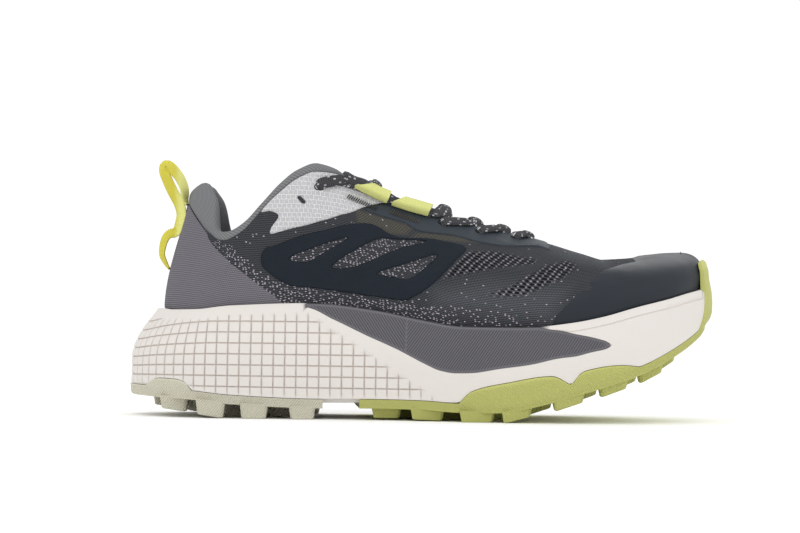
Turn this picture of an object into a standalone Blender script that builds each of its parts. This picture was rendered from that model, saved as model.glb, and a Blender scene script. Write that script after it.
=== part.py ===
"""Trail running shoe, right foot, standing empty on its sole.

Metres, +Z up. The toe points to +X, the inner (medial) side to +Y, the outer
(lateral) side to -Y. The floor is Z = 0 and the middle of the sole is X = Y = 0.
"""
import math

import bmesh
import bpy
import numpy as np

# Main sizes
SOLE_LENGTH = 0.300
BALL_WIDTH = 0.112
SIDE_HEIGHT = 0.058
SHELL_HEIGHT = 0.1245
GAP = 0.0003

# Sole
PLATE_THICKNESS = 0.0025
WRAP_THICKNESS = 0.0025
EDGE_BEVEL = 0.0015
LEDGE_DROP = 0.0046
LEDGE_STEP = 0.0008
INSERT_DEPTH = 0.0018
INSERT_LIP = 0.0012
CUP_DRAFT = 0.0040
LUG_DRAFT = 0.0012
HEEL_ROUND = 0.155
TOE_ROUND = 0.210
HEEL_MIDDLE = -0.010
TOE_MIDDLE = 0.085
TOE_FULLNESS = 2.3
HEEL_PLATE_END = 0.335
FORE_PLATE_START = 0.395
LEDGE_START = 0.70
WALL_ROWS = (1.0, 0.66, 0.33)
NORMAL_REACH = 0.006

# Upper
UPPER_WALL = 0.0024
OVERLAY_THICKNESS = 0.0008
BUMPER_THICKNESS = 0.0020
BUMPER_START = 0.04
BUMPER_RISE = 0.55
INSOLE_THICKNESS = 0.0045
COLLAR_END = 0.385
TONGUE_START = 0.395
TONGUE_END = 0.755
TONGUE_THICKNESS = 0.0050
TONGUE_LAP = 0.0110
CROWN = 0.13
TONGUE_PAD = 0.0033
TONGUE_FULL_REACH = 0.0040
TONGUE_EDGE = 0.4
TONGUE_TUCK = 0.55
CROWN_RUN = 0.004
INSOLE_FIT = 1.08

# Webbing and lace
LACE_WIDTH = 0.0058
LACE_THICKNESS = 0.0025
STRAP_THICKNESS = 0.0013
STRAP_WIDTH = 0.0100
TUNNEL_LENGTH = 0.0195
TUNNEL_WIDTH = 0.0074
TUNNEL_THICKNESS = 0.0009
TUNNEL_SHOULDER = 0.75
TUNNEL_CREST = 0.55

# Detail of the lofts
SIDE_COLUMNS = 28
UPPER_ROWS = 7
COLUMN_CROWDING = 0.040
FINE_ROWS = 40
CUT_MARGIN = 0.03

# Plan of the sole: share of its length, then shares of the ball width
PLAN_NAMES = ("at", "lateral", "medial")
PLAN = (
    (0.00, 0.384, 0.366),
    (0.15, 0.402, 0.384),
    (0.25, 0.398, 0.366),
    (0.35, 0.389, 0.335),
    (0.45, 0.400, 0.331),
    (0.55, 0.449, 0.384),
    (0.63, 0.487, 0.447),
    (0.70, 0.500, 0.491),
    (0.77, 0.487, 0.500),
    (0.85, 0.447, 0.485),
    (0.93, 0.395, 0.456),
    (1.00, 0.345, 0.425),
)

# Side of the sole: share of its length, then shares of the side height,
# and for lean and rim shares of the ball width
SOLE_NAMES = ("at", "floor", "plate", "bite", "bed", "lean", "rim")
SOLE = (
    (0.00, 0.110, 0.180, 0.945, 0.700, 0.112, 0.031),
    (0.05, 0.085, 0.170, 0.930, 0.690, 0.105, 0.031),
    (0.11, 0.045, 0.155, 0.935, 0.670, 0.085, 0.031),
    (0.18, 0.000, 0.120, 0.970, 0.660, 0.072, 0.031),
    (0.32, 0.000, 0.095, 0.999, 0.650, 0.058, 0.031),
    (0.42, 0.018, 0.100, 0.945, 0.615, 0.045, 0.031),
    (0.50, 0.012, 0.095, 0.862, 0.575, 0.036, 0.031),
    (0.56, 0.000, 0.078, 0.817, 0.545, 0.032, 0.031),
    (0.63, 0.000, 0.080, 0.814, 0.530, 0.030, 0.031),
    (0.68, 0.055, 0.130, 0.819, 0.540, 0.030, 0.031),
    (0.74, 0.141, 0.215, 0.853, 0.575, 0.030, 0.031),
    (0.80, 0.238, 0.310, 0.914, 0.635, 0.028, 0.031),
    (0.86, 0.345, 0.414, 1.000, 0.715, 0.026, 0.030),
    (0.92, 0.500, 0.570, 1.078, 0.810, 0.020, 0.028),
    (0.97, 0.690, 0.745, 1.152, 0.910, 0.010, 0.031),
    (1.00, 0.850, 0.900, 1.185, 0.970, 0.006, 0.031),
)

# How far the side has leaned in at a share of its height
LEAN_NAMES = ("up", "lean")
LEAN = (
    (0.00, 0.000),
    (0.38, 0.010),
    (0.50, 0.070),
    (0.62, 0.210),
    (0.80, 0.560),
    (1.00, 1.000),
)

# Upper edge of the two outsoles on the side of the midsole
WRAP_NAMES = ("at", "top")
WRAP = (
    (0.000, 0.276),
    (0.032, 0.270),
    (0.058, 0.333),
    (0.090, 0.326),
    (0.107, 0.290),
    (0.118, 0.221),
    (0.200, 0.188),
    (0.262, 0.165),
    (0.295, 0.100),
    (0.550, 0.090),
    (0.562, 0.172),
    (0.580, 0.259),
    (0.640, 0.340),
    (0.712, 0.400),
    (0.728, 0.370),
    (0.742, 0.334),
    (0.757, 0.420),
    (0.768, 0.452),
    (0.830, 0.500),
    (0.866, 0.488),
    (0.885, 0.540),
    (0.930, 0.650),
    (0.965, 0.800),
    (0.978, 0.980),
    (0.986, 1.360),
    (1.000, 1.430),
)

# Grey side piece: lower and upper edge on the side of the midsole
INSERT_NAMES = ("at", "low", "high")
INSERT = (
    (0.302, 0.962, 0.990),
    (0.352, 0.855, 0.985),
    (0.403, 0.731, 0.955),
    (0.453, 0.619, 0.915),
    (0.503, 0.489, 0.850),
    (0.527, 0.436, 0.830),
    (0.553, 0.415, 0.808),
    (0.577, 0.418, 0.802),
    (0.625, 0.458, 0.802),
    (0.675, 0.497, 0.805),
    (0.723, 0.555, 0.793),
    (0.750, 0.574, 0.764),
    (0.775, 0.609, 0.741),
    (0.803, 0.664, 0.700),
)

# Top edge of the upper: share of the way from heel to toe, share of the
# length, middle and half opening as shares of the ball width, and share of
# the shell height. From the row with no opening on it is the ridge of the toe.
EDGE_NAMES = ("along", "at", "middle", "half", "height")
EDGE = (
    (0.000, 0.0930, -0.010, 0.000, 0.876),
    (0.050, 0.1000, -0.010, 0.107, 0.850),
    (0.100, 0.1140, -0.010, 0.188, 0.803),
    (0.150, 0.1370, -0.012, 0.245, 0.741),
    (0.200, 0.1630, -0.014, 0.275, 0.714),
    (0.237, 0.1930, -0.016, 0.282, 0.750),
    (0.267, 0.2250, -0.016, 0.280, 0.835),
    (0.295, 0.2550, -0.015, 0.275, 0.912),
    (0.325, 0.2870, -0.013, 0.265, 0.974),
    (0.352, 0.3160, -0.010, 0.255, 1.000),
    (0.380, 0.3470, -0.008, 0.243, 0.994),
    (0.410, 0.3770, -0.006, 0.230, 0.962),
    (0.464, 0.4330, 0.000, 0.206, 0.896),
    (0.521, 0.5000, 0.005, 0.183, 0.843),
    (0.584, 0.5730, 0.010, 0.160, 0.799),
    (0.647, 0.6430, 0.018, 0.129, 0.765),
    (0.687, 0.6860, 0.022, 0.085, 0.745),
    (0.715, 0.7100, 0.024, 0.000, 0.735),
    (0.755, 0.7520, 0.028, 0.000, 0.701),
    (0.800, 0.7930, 0.034, 0.000, 0.667),
    (0.850, 0.8430, 0.042, 0.000, 0.673),
    (0.900, 0.8870, 0.052, 0.000, 0.686),
    (0.950, 0.9200, 0.062, 0.000, 0.695),
    (1.000, 0.9450, 0.072, 0.000, 0.698),
)

# Bend of each column of the upper: lean of its foot and of its top in
# degrees from upright, and the reach of both as shares of its height
BEND_NAMES = ("along", "foot", "top", "foot_reach", "top_reach")
BEND = (
    (0.00, -1.0, 10.0, 0.36, 0.30),
    (0.12, 2.0, 16.0, 0.34, 0.30),
    (0.24, 4.0, 10.0, 0.34, 0.30),
    (0.35, 5.0, 8.0, 0.34, 0.34),
    (0.41, 6.0, 22.0, 0.34, 0.34),
    (0.50, 9.0, 42.0, 0.34, 0.34),
    (0.60, 12.0, 58.0, 0.36, 0.36),
    (0.68, 13.0, 72.0, 0.38, 0.38),
    (0.73, 13.0, 86.0, 0.38, 0.40),
    (0.85, 12.0, 90.0, 0.42, 0.44),
    (1.00, 8.0, 90.0, 0.50, 0.52),
)

# Lugs: share of the length, share across the sole, length and width as shares
# of the length and of the ball width, and how far the front end sweeps
HEEL_LUGS = (
    (0.085, 0.10, 0.040, 0.110, 0.3),
    (0.085, 0.90, 0.040, 0.110, -0.3),
    (0.148, 0.06, 0.042, 0.110, 0.3),
    (0.148, 0.94, 0.042, 0.110, -0.3),
    (0.220, 0.06, 0.040, 0.110, 0.3),
    (0.220, 0.94, 0.040, 0.110, -0.3),
    (0.300, 0.07, 0.038, 0.110, 0.3),
    (0.300, 0.93, 0.038, 0.110, -0.3),
    (0.060, 0.50, 0.034, 0.150, 0.0),
    (0.120, 0.36, 0.036, 0.110, 0.5),
    (0.120, 0.64, 0.036, 0.110, -0.5),
    (0.185, 0.36, 0.036, 0.110, 0.5),
    (0.185, 0.64, 0.036, 0.110, -0.5),
    (0.260, 0.36, 0.036, 0.110, 0.5),
    (0.260, 0.64, 0.036, 0.110, -0.5),
)
FORE_LUGS = (
    (0.440, 0.14, 0.044, 0.110, 0.3),
    (0.440, 0.86, 0.044, 0.110, -0.3),
    (0.508, 0.09, 0.050, 0.110, 0.3),
    (0.508, 0.91, 0.050, 0.110, -0.3),
    (0.590, 0.06, 0.052, 0.110, 0.3),
    (0.590, 0.94, 0.052, 0.110, -0.3),
    (0.655, 0.06, 0.044, 0.110, 0.3),
    (0.655, 0.94, 0.044, 0.110, -0.3),
    (0.740, 0.06, 0.046, 0.110, 0.3),
    (0.740, 0.94, 0.046, 0.110, -0.3),
    (0.815, 0.08, 0.042, 0.110, 0.3),
    (0.815, 0.92, 0.042, 0.110, -0.3),
    (0.880, 0.12, 0.036, 0.110, 0.3),
    (0.880, 0.88, 0.036, 0.110, -0.3),
    (0.470, 0.36, 0.040, 0.110, 0.6),
    (0.470, 0.64, 0.040, 0.110, -0.6),
    (0.545, 0.35, 0.040, 0.110, 0.6),
    (0.545, 0.65, 0.040, 0.110, -0.6),
    (0.620, 0.35, 0.040, 0.110, 0.6),
    (0.620, 0.65, 0.040, 0.110, -0.6),
    (0.698, 0.35, 0.040, 0.110, 0.6),
    (0.698, 0.65, 0.040, 0.110, -0.6),
    (0.775, 0.35, 0.040, 0.110, 0.6),
    (0.775, 0.65, 0.040, 0.110, -0.6),
    (0.845, 0.36, 0.036, 0.110, 0.6),
    (0.845, 0.64, 0.036, 0.110, -0.6),
    (0.915, 0.38, 0.030, 0.100, 0.4),
    (0.915, 0.62, 0.030, 0.100, -0.4),
)

# Section of the padded collar: out from the upper's face and up from its
# edge, as shares of the collar's depth
COLLAR_DEPTH = 0.024
COLLAR = (
    (0.000, 0.013),
    (0.015, 0.090),
    (-0.040, 0.175),
    (-0.150, 0.215),
    (-0.280, 0.160),
    (-0.250, -0.080),
    (-0.230, -0.400),
    (-0.120, -0.750),
    (0.000, -1.000),
)
# How many times higher and thicker the collar's roll is round the heel
ROLL_NAMES = ("along", "lateral", "medial", "thick")
ROLL = (
    (0.000, 1.45, 1.45, 1.35),
    (0.050, 2.15, 2.15, 1.25),
    (0.100, 3.35, 3.35, 1.10),
    (0.140, 3.95, 3.95, 1.00),
    (0.158, 3.20, 4.05, 1.00),
    (0.172, 1.10, 4.00, 1.00),
    (0.205, 1.00, 3.50, 1.00),
    (0.240, 1.00, 1.70, 1.00),
    (0.270, 1.00, 1.00, 1.00),
    (1.000, 1.00, 1.00, 1.00),
)

# Crossings of the lace: front and back place along the throat as heel to toe
# shares, and how far from each edge of the throat they end
CROSSINGS = (
    (0.656, 0.600, 0.00),
    (0.600, 0.552, 0.00),
    (0.448, 0.404, 0.15),
)
# Places of the tunnels and of the straight laces, and how these parts sit
TUNNELS = (0.498, 0.437)
TUNNEL_SET = 0.0030
EDGE_RUN = 1.11
LACE_SET = 0.0012
LACE_BARS = (0.674, 0.541)
LACE_ROOM = 0.26
BAR_END = 0.02
LACE_STEPS = 6
SKIN_START = 0.15
TOE_FIT_FROM = 0.86
TOE_FIT = 0.0011

# Side outlines of the overlays: share of the length, share of the shell height
CAGE = (
    (0.2266, 0.657),
    (0.2376, 0.691),
    (0.2464, 0.693),
    (0.2740, 0.721),
    (0.3247, 0.758),
    (0.3663, 0.784),
    (0.4115, 0.788),
    (0.4553, 0.739),
    (0.5122, 0.733),
    (0.5693, 0.700),
    (0.5495, 0.636),
    (0.5364, 0.602),
    (0.5050, 0.529),
    (0.4818, 0.495),
    (0.4635, 0.482),
    (0.3931, 0.503),
    (0.3261, 0.524),
    (0.2688, 0.541),
    (0.2320, 0.602),
)
WINDOW_1 = (
    (0.2745, 0.648),
    (0.3217, 0.696),
    (0.3710, 0.731),
    (0.3219, 0.657),
    (0.3012, 0.631),
    (0.2863, 0.635),
)
WINDOW_2 = (
    (0.3456, 0.616),
    (0.3862, 0.685),
    (0.4252, 0.730),
    (0.4520, 0.727),
    (0.5022, 0.721),
    (0.4589, 0.693),
    (0.4140, 0.645),
    (0.3774, 0.613),
)
WINDOW_3 = (
    (0.4227, 0.591),
    (0.4843, 0.642),
    (0.5209, 0.666),
    (0.4929, 0.597),
    (0.4723, 0.567),
    (0.4512, 0.574),
)
EYESTAY = (
    (0.4011, 0.852),
    (0.4311, 0.873),
    (0.4490, 0.924),
    (0.4600, 0.950),
    (0.5066, 0.900),
    (0.5755, 0.850),
    (0.6343, 0.810),
    (0.7064, 0.760),
    (0.7132, 0.697),
    (0.6897, 0.710),
    (0.5734, 0.711),
    (0.5138, 0.741),
    (0.4619, 0.751),
    (0.4148, 0.802),
)
QUARTER = (
    (0.2415, 0.835),
    (0.2545, 0.815),
    (0.2420, 0.764),
    (0.2484, 0.745),
    (0.3078, 0.785),
    (0.3661, 0.829),
    (0.3977, 0.858),
    (0.4277, 0.879),
    (0.4442, 0.926),
    (0.3561, 1.085),
    (0.2724, 1.082),
    (0.2266, 0.919),
)
TOE_CAP = (
    (0.6977, 0.370),
    (0.6976, 0.390),
    (0.7292, 0.448),
    (0.7608, 0.530),
    (0.7940, 0.614),
    (0.8056, 0.649),
    (0.8120, 0.739),
    (1.0643, 0.747),
    (1.0657, 0.383),
)
HEEL_PANEL = (
    (0.0427, 0.409),
    (0.0385, 0.993),
    (0.1342, 0.835),
    (0.1350, 0.726),
    (0.1478, 0.684),
    (0.1800, 0.615),
    (0.2122, 0.555),
    (0.2511, 0.488),
    (0.2646, 0.464),
    (0.2666, 0.416),
)
# Path of the heel strap: out from the heel and down from the top edge of the
# shell, as shares of the strap's width
PULL_LOOP = (
    (0.02, -0.15),
    (0.15, -0.66),
    (0.50, -1.20),
    (1.00, -1.62),
    (1.37, -1.76),
    (1.43, -1.50),
    (1.17, -1.05),
    (0.73, -0.45),
    (0.32, 0.05),
    (0.06, 0.55),
    (0.01, 0.95),
    (0.01, 1.40),
    (0.06, 1.62),
    (0.38, 1.80),
    (0.52, 2.20),
    (0.46, 2.85),
    (0.22, 3.20),
    (0.02, 3.40),
)


def table(names, rows, name, where):
    """Value of one named column at one or many places, without overshoot."""
    x = np.array([row[0] for row in rows])
    y = np.array([row[names.index(name)] for row in rows])
    where = np.clip(np.asarray(where, dtype=float), x[0], x[-1])
    step = np.diff(x)
    slope = np.diff(y) / step
    bend = np.zeros(len(x))
    for i in range(1, len(x) - 1):
        if slope[i - 1] * slope[i] > 0.0:
            first = 2.0 * step[i] + step[i - 1]
            second = step[i] + 2.0 * step[i - 1]
            bend[i] = (first + second) / (first / slope[i - 1] + second / slope[i])
    i = np.clip(np.searchsorted(x, where, side="right") - 1, 0, len(x) - 2)
    t = (where - x[i]) / step[i]
    return (
        (2.0 * t**3 - 3.0 * t**2 + 1.0) * y[i]
        + (t**3 - 2.0 * t**2 + t) * step[i] * bend[i]
        + (3.0 * t**2 - 2.0 * t**3) * y[i + 1]
        + (t**3 - t**2) * step[i] * bend[i + 1]
    )


def unit(v):
    """Vector or vectors at length one."""
    return v / np.maximum(np.linalg.norm(v, axis=-1, keepdims=True), 1e-12)


def side_outline(side, share):
    """Plan points and outward normals of one side at shares of its run from heel to toe."""
    u = 0.5 - 0.5 * np.cos(np.linspace(0.0, math.pi, 3001))
    half = side * table(PLAN_NAMES, PLAN, "lateral" if side < 0 else "medial", u)
    heel = np.clip(u / HEEL_ROUND, 0.0, 1.0)
    toe = np.clip((1.0 - u) / TOE_ROUND, 0.0, 1.0)
    heel_round = np.sqrt(np.maximum(1.0 - (1.0 - heel) ** 2, 0.0))
    toe_round = np.maximum(1.0 - (1.0 - toe) ** TOE_FULLNESS, 0.0) ** (1.0 / TOE_FULLNESS)
    y = np.where(u < 0.5, HEEL_MIDDLE + (half - HEEL_MIDDLE) * heel_round,
                 TOE_MIDDLE + (half - TOE_MIDDLE) * toe_round)
    points = np.stack([(u - 0.5) * SOLE_LENGTH, y * BALL_WIDTH], axis=1)
    run = np.concatenate([[0.0], np.cumsum(np.linalg.norm(np.diff(points, axis=0), axis=1))])
    run /= run[-1]
    place = np.stack([np.interp(share, run, points[:, k]) for k in range(2)], axis=1)
    ahead, behind = (
        np.stack([np.interp(share + reach, run, points[:, k]) for k in range(2)], axis=1)
        for reach in (NORMAL_REACH, -NORMAL_REACH)
    )
    along = unit(ahead - behind)
    normal = np.stack([-along[:, 1] * side, along[:, 0] * side], axis=1)
    return place, normal


class Columns:
    """Paired columns round the shoe: heel middle, outer side, toe tip, inner side."""

    def __init__(self, count):
        i = np.linspace(0.0, 1.0, count + 2)
        self.share = i - COLUMN_CROWDING * np.sin(2.0 * math.pi * i)
        lateral, lateral_normal = side_outline(-1.0, self.share)
        medial, medial_normal = side_outline(1.0, self.share)
        lateral_normal[0] = medial_normal[0] = (-1.0, 0.0)
        lateral_normal[-1] = medial_normal[-1] = (1.0, 0.0)
        self.count = count
        self.plan = np.stack([lateral, medial])
        self.normal = np.stack([lateral_normal, medial_normal])
        at = self.plan[:, :, 0] / SOLE_LENGTH + 0.5
        self.at = at
        self.sole = {
            name: table(SOLE_NAMES, SOLE, name, at)
            * (BALL_WIDTH if name in ("lean", "rim") else SIDE_HEIGHT)
            for name in SOLE_NAMES[1:]
        }
        wrap = table(WRAP_NAMES, WRAP, "top", at) * SIDE_HEIGHT
        self.bottom = self.sole["plate"] + PLATE_THICKNESS + GAP
        self.wrap = np.maximum(wrap, self.bottom + EDGE_BEVEL + GAP)
        self.covered = self.wrap > self.sole["bite"]
        for k in range(2):
            first = int(np.argmax(self.covered[k]))
            self.wrap[k][first] = self.sole["bite"][k][first]
        edge = {name: table(EDGE_NAMES, EDGE, name, self.share) for name in EDGE_NAMES[1:]}
        bend = {name: table(BEND_NAMES, BEND, name, self.share) for name in BEND_NAMES[1:]}
        self.ridge = edge["half"] <= 0.0
        self.foot = np.zeros((2, count + 2, 3))
        self.feather = np.zeros((2, count + 2, 3))
        self.handle_low = np.zeros((2, count + 2, 3))
        self.handle_high = np.zeros((2, count + 2, 3))
        self.top = np.zeros((2, count + 2, 3))
        for k, side in enumerate((-1.0, 1.0)):
            inset = self.sole["lean"][k] + self.sole["rim"][k] + LEDGE_STEP
            foot = self.plan[k] - self.normal[k] * inset[:, None]
            feather = foot - self.normal[k] * CUP_DRAFT
            self.foot[k] = np.column_stack([foot, self.sole["bite"][k]])
            self.feather[k] = np.column_stack([feather, self.sole["bed"][k] + GAP])
            top = self.top[k]
            top[:, 0] = (edge["at"] - 0.5) * SOLE_LENGTH
            top[:, 1] = (edge["middle"] + side * edge["half"]) * BALL_WIDTH
            top[:, 2] = edge["height"] * SHELL_HEIGHT
            reach = np.linalg.norm(top - self.foot[k], axis=1)
            out = np.column_stack([self.normal[k], np.zeros(count + 2)])
            up = np.array([0.0, 0.0, 1.0])
            low = np.radians(bend["foot"])[:, None]
            high = np.radians(bend["top"])[:, None]
            low_way = np.cos(low) * up + np.sin(low) * out
            high_way = -np.cos(high) * up + np.sin(high) * out
            self.handle_low[k] = self.foot[k] + low_way * (reach * bend["foot_reach"])[:, None]
            self.handle_high[k] = top + high_way * (reach * bend["top_reach"])[:, None]

    def lean(self, k, height):
        """Offset of the midsole's side from the plan outline at a height of each column."""
        rise = (height - self.bottom[k]) / (self.sole["bite"][k] - self.bottom[k])
        return -self.sole["lean"][k] * table(LEAN_NAMES, LEAN, "lean", rise)

    def wall(self, k, offset, height):
        """Points at an offset from the plan outline and at a height."""
        return np.column_stack([self.plan[k] + self.normal[k] * offset[:, None], height])

    def upper(self, k, t):
        """Outer face of the upper: -1 feather, 0 top of the midsole, 1 top edge."""
        if t < 0.0:
            return self.foot[k] + (self.feather[k] - self.foot[k]) * -t
        return (
            (1.0 - t) ** 3 * self.foot[k]
            + 3.0 * (1.0 - t) ** 2 * t * self.handle_low[k]
            + 3.0 * (1.0 - t) * t**2 * self.handle_high[k]
            + t**3 * self.top[k]
        )

    def ring(self, pair):
        """Lateral and medial rows as one closed round of columns."""
        return np.concatenate([pair[0], pair[1][-2:0:-1]])


def grid_normals(grid, ridge_pairs):
    """Outward normals of rows of closed rounds of points, shared along the ridge."""
    across = np.roll(grid, -1, axis=1) - np.roll(grid, 1, axis=1)
    along = np.gradient(grid, axis=0)
    normal = unit(np.cross(along, across))
    for lateral, medial in ridge_pairs:
        shared = unit(normal[-1, lateral] + normal[-1, medial])
        shared = unit(shared * np.array([1.0, 0.0, 1.0]))
        normal[-1, lateral] = shared
        normal[-1, medial] = shared
    if normal[len(grid) // 2, 3, 0] > 0.0:
        normal = -normal
    return normal


def finish(bm, name, material):
    """Turn loose faces into one outward body in the shoe's collection."""
    bmesh.ops.remove_doubles(bm, verts=bm.verts, dist=0.00002)
    bmesh.ops.dissolve_degenerate(bm, edges=bm.edges, dist=0.000001)
    bmesh.ops.recalc_face_normals(bm, faces=bm.faces)
    mesh = bpy.data.meshes.new(name)
    bm.to_mesh(mesh)
    bm.free()
    mesh.materials.append(material)
    mesh.shade_smooth()
    obj = bpy.data.objects.new(name, mesh)
    SHOE.objects.link(obj)
    return obj


def add_faces(bm, points, faces):
    """Add faces by point number, without those shrunk to a line or met from both sides."""
    seen = {}
    verts = []
    for point in points:
        key = tuple(int(round(c * 1e6)) for c in point)
        if key not in seen:
            seen[key] = bm.verts.new(point)
        verts.append(seen[key])
    sides = []
    times = {}
    for face in faces:
        corners = []
        for index in face:
            if verts[index] not in corners:
                corners.append(verts[index])
        key = frozenset(corners)
        if len(corners) > 2:
            sides.append((key, corners))
            times[key] = times.get(key, 0) + 1
    for key, corners in sides:
        if times[key] == 1:
            bm.faces.new(corners)


def layer(name, outer, inner, keep, closed, material):
    """Solid between two like grids; keep says which cells, closed joins the last column."""
    rows, cols = outer.shape[:2]
    span = cols if closed else cols - 1
    size = rows * cols
    faces = []
    kept = np.zeros((rows + 1, span), dtype=bool)
    kept[: rows - 1] = keep
    for r in range(rows - 1):
        for c in range(span):
            if not kept[r, c]:
                continue
            d = (c + 1) % cols
            a, b, e, f = r * cols + c, r * cols + d, (r + 1) * cols + d, (r + 1) * cols + c
            faces.append((a, b, e))
            faces.append((a, e, f))
            faces.append((e + size, b + size, a + size))
            faces.append((f + size, e + size, a + size))
            left = kept[r, c - 1] if (c or closed) else False
            right = kept[r, (c + 1) % span] if (c < span - 1 or closed) else False
            if r == 0 or not kept[r - 1, c]:
                faces.append((b, a, a + size, b + size))
            if not kept[r + 1, c]:
                faces.append((f, e, e + size, f + size))
            if not left:
                faces.append((a, f, f + size, a + size))
            if not right:
                faces.append((e, b, b + size, e + size))
    bm = bmesh.new()
    add_faces(bm, np.concatenate([outer.reshape(-1, 3), inner.reshape(-1, 3)]), faces)
    return finish(bm, name, material)


def loft(name, rings, caps, material):
    """Solid through closed sections; caps closes the ends where they have not shrunk."""
    count, size = rings.shape[:2]
    faces = []
    for i in range(count - 1):
        for k in range(size):
            n = (k + 1) % size
            faces.append((i * size + k, i * size + n, (i + 1) * size + n))
            faces.append((i * size + k, (i + 1) * size + n, (i + 1) * size + k))
    if caps:
        faces.append(tuple(range(size - 1, -1, -1)))
        faces.append(tuple((count - 1) * size + k for k in range(size)))
    bm = bmesh.new()
    add_faces(bm, rings.reshape(-1, 3), faces)
    return finish(bm, name, material)


def between(a, b, count):
    """Evenly spaced points strictly between two rows of points."""
    return [a + (b - a) * (i + 1) / (count + 1) for i in range(count)]


def prism(name, outline, low, high):
    """Cutter: a side outline drawn through the shoe from low to high across it."""
    bm = bmesh.new()
    near = [bm.verts.new((x, low, z)) for x, z in outline]
    far = [bm.verts.new((x, high, z)) for x, z in outline]
    bm.faces.new(near)
    bm.faces.new(far[::-1])
    for i in range(len(outline)):
        j = (i + 1) % len(outline)
        bm.faces.new((near[j], near[i], far[i], far[j]))
    bmesh.ops.recalc_face_normals(bm, faces=bm.faces)
    return cutter(name, bm)


def cutter(name, bm):
    """Hide a cutting body in its own collection."""
    mesh = bpy.data.meshes.new(name)
    bm.to_mesh(mesh)
    bm.free()
    obj = bpy.data.objects.new(name, mesh)
    CUTTERS.objects.link(obj)
    obj.hide_render = True
    obj.display_type = "WIRE"
    return obj


def combine(obj, other, operation):
    """Apply one exact Boolean and keep the result as a plain mesh."""
    modifier = obj.modifiers.new(operation.lower(), "BOOLEAN")
    modifier.operation = operation
    modifier.solver = "EXACT"
    modifier.object = other
    bpy.context.view_layer.update()
    graph = bpy.context.evaluated_depsgraph_get()
    mesh = bpy.data.meshes.new_from_object(obj.evaluated_get(graph))
    obj.modifiers.remove(modifier)
    old = obj.data
    obj.data = mesh
    bpy.data.meshes.remove(old)
    mesh.name = obj.name
    return obj


def paint(name, colour, roughness):
    """Principled material of one piece."""
    material = bpy.data.materials.new(name)
    material.use_nodes = True
    shader = material.node_tree.nodes["Principled BSDF"]
    shader.inputs["Base Color"].default_value = (*colour, 1.0)
    shader.inputs["Roughness"].default_value = roughness
    return material


for old in list(bpy.data.objects):
    bpy.data.objects.remove(old, do_unlink=True)
SHOE = bpy.data.collections.new("trail_running_shoe")
CUTTERS = bpy.data.collections.new("cutters")
bpy.context.scene.collection.children.link(SHOE)
bpy.context.scene.collection.children.link(CUTTERS)

C = Columns(SIDE_COLUMNS)
LAST = SIDE_COLUMNS + 1


def side_inserts(k):
    """Lower edge, upper edge and depth of the grey side piece for every column."""
    at = C.at[k]
    here = (at > INSERT[0][0]) & (at < INSERT[-1][0]) & (C.share > 0.2) & (C.share < 0.9)
    low = table(INSERT_NAMES, INSERT, "low", at) * SIDE_HEIGHT
    high = table(INSERT_NAMES, INSERT, "high", at) * SIDE_HEIGHT
    bite = C.sole["bite"][k]
    high = np.minimum(high, bite - INSERT_LIP)
    low = np.minimum(low, high - INSERT_LIP)
    start = np.minimum(C.wrap[k] + GAP, bite - LEDGE_DROP)
    low = np.where(here, low, start + (bite - start) * 0.30)
    high = np.where(here, high, start + (bite - start) * 0.60)
    return low, high, here


def build_midsole():
    """Foam midsole: side with its steps, rim, cup and foot bed."""
    halves = []
    for k in range(2):
        bite = C.sole["bite"][k]
        ledge_here = C.at[k] > LEDGE_START
        wrap = np.minimum(C.wrap[k] + GAP, bite - 2.0 * GAP)
        low, high, here = side_inserts(k)
        low = np.clip(low, wrap, bite)
        high = np.clip(high, low, bite)
        depth = np.where(here, INSERT_DEPTH, 0.0)
        ledge = np.maximum(bite - LEDGE_DROP, high)
        step = np.where(ledge_here & (ledge > wrap), LEDGE_STEP, 0.0)
        inside = np.full(len(bite), -WRAP_THICKNESS)
        lean = C.lean(k, wrap)
        covered = C.covered[k]
        cover = np.where(covered, WRAP_THICKNESS, 0.0)
        brim = np.where(covered, 2.0 * GAP, LEDGE_STEP)
        step = np.where(covered, 0.0, step)
        rows = [
            C.wall(k, inside + np.minimum(lean, 0.0) - EDGE_BEVEL, C.bottom[k]),
            C.wall(k, inside + lean, C.bottom[k] + EDGE_BEVEL),
            C.wall(k, inside + lean, wrap),
            C.wall(k, lean - cover, wrap),
            C.wall(k, C.lean(k, low) - cover, low),
            C.wall(k, C.lean(k, low) - depth - cover, low),
            C.wall(k, C.lean(k, high) - depth - cover, high),
            C.wall(k, C.lean(k, high) - cover, high),
            C.wall(k, C.lean(k, ledge) - cover, ledge),
            C.wall(k, C.lean(k, ledge) - step - cover, ledge),
            C.wall(k, C.lean(k, bite) - brim - cover, bite),
            C.wall(k, -C.sole["lean"][k] - C.sole["rim"][k] - LEDGE_STEP + GAP, bite),
            C.wall(k, -C.sole["lean"][k] - C.sole["rim"][k] - LEDGE_STEP - CUP_DRAFT + GAP,
                   C.sole["bed"][k]),
        ]
        halves.append(rows)
    lateral, medial = halves
    rings = lateral[::-1] + between(lateral[0], medial[0], 3)
    rings += medial + between(medial[-1], lateral[-1], 3)
    return loft("midsole", np.stack(rings, axis=1), False, MATERIALS["midsole"])


def sole_ring(outer_rows, inner_rows, count):
    """Sections of a tray from one side's top edge under the sole to the other's."""
    outer = outer_rows[0] + between(outer_rows[0][-1], outer_rows[1][-1], count)
    outer += outer_rows[1][::-1]
    inner = inner_rows[0] + between(inner_rows[0][-1], inner_rows[1][-1], count)
    inner += inner_rows[1][::-1]
    return np.stack(outer, axis=1), np.stack(inner, axis=1)


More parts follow.
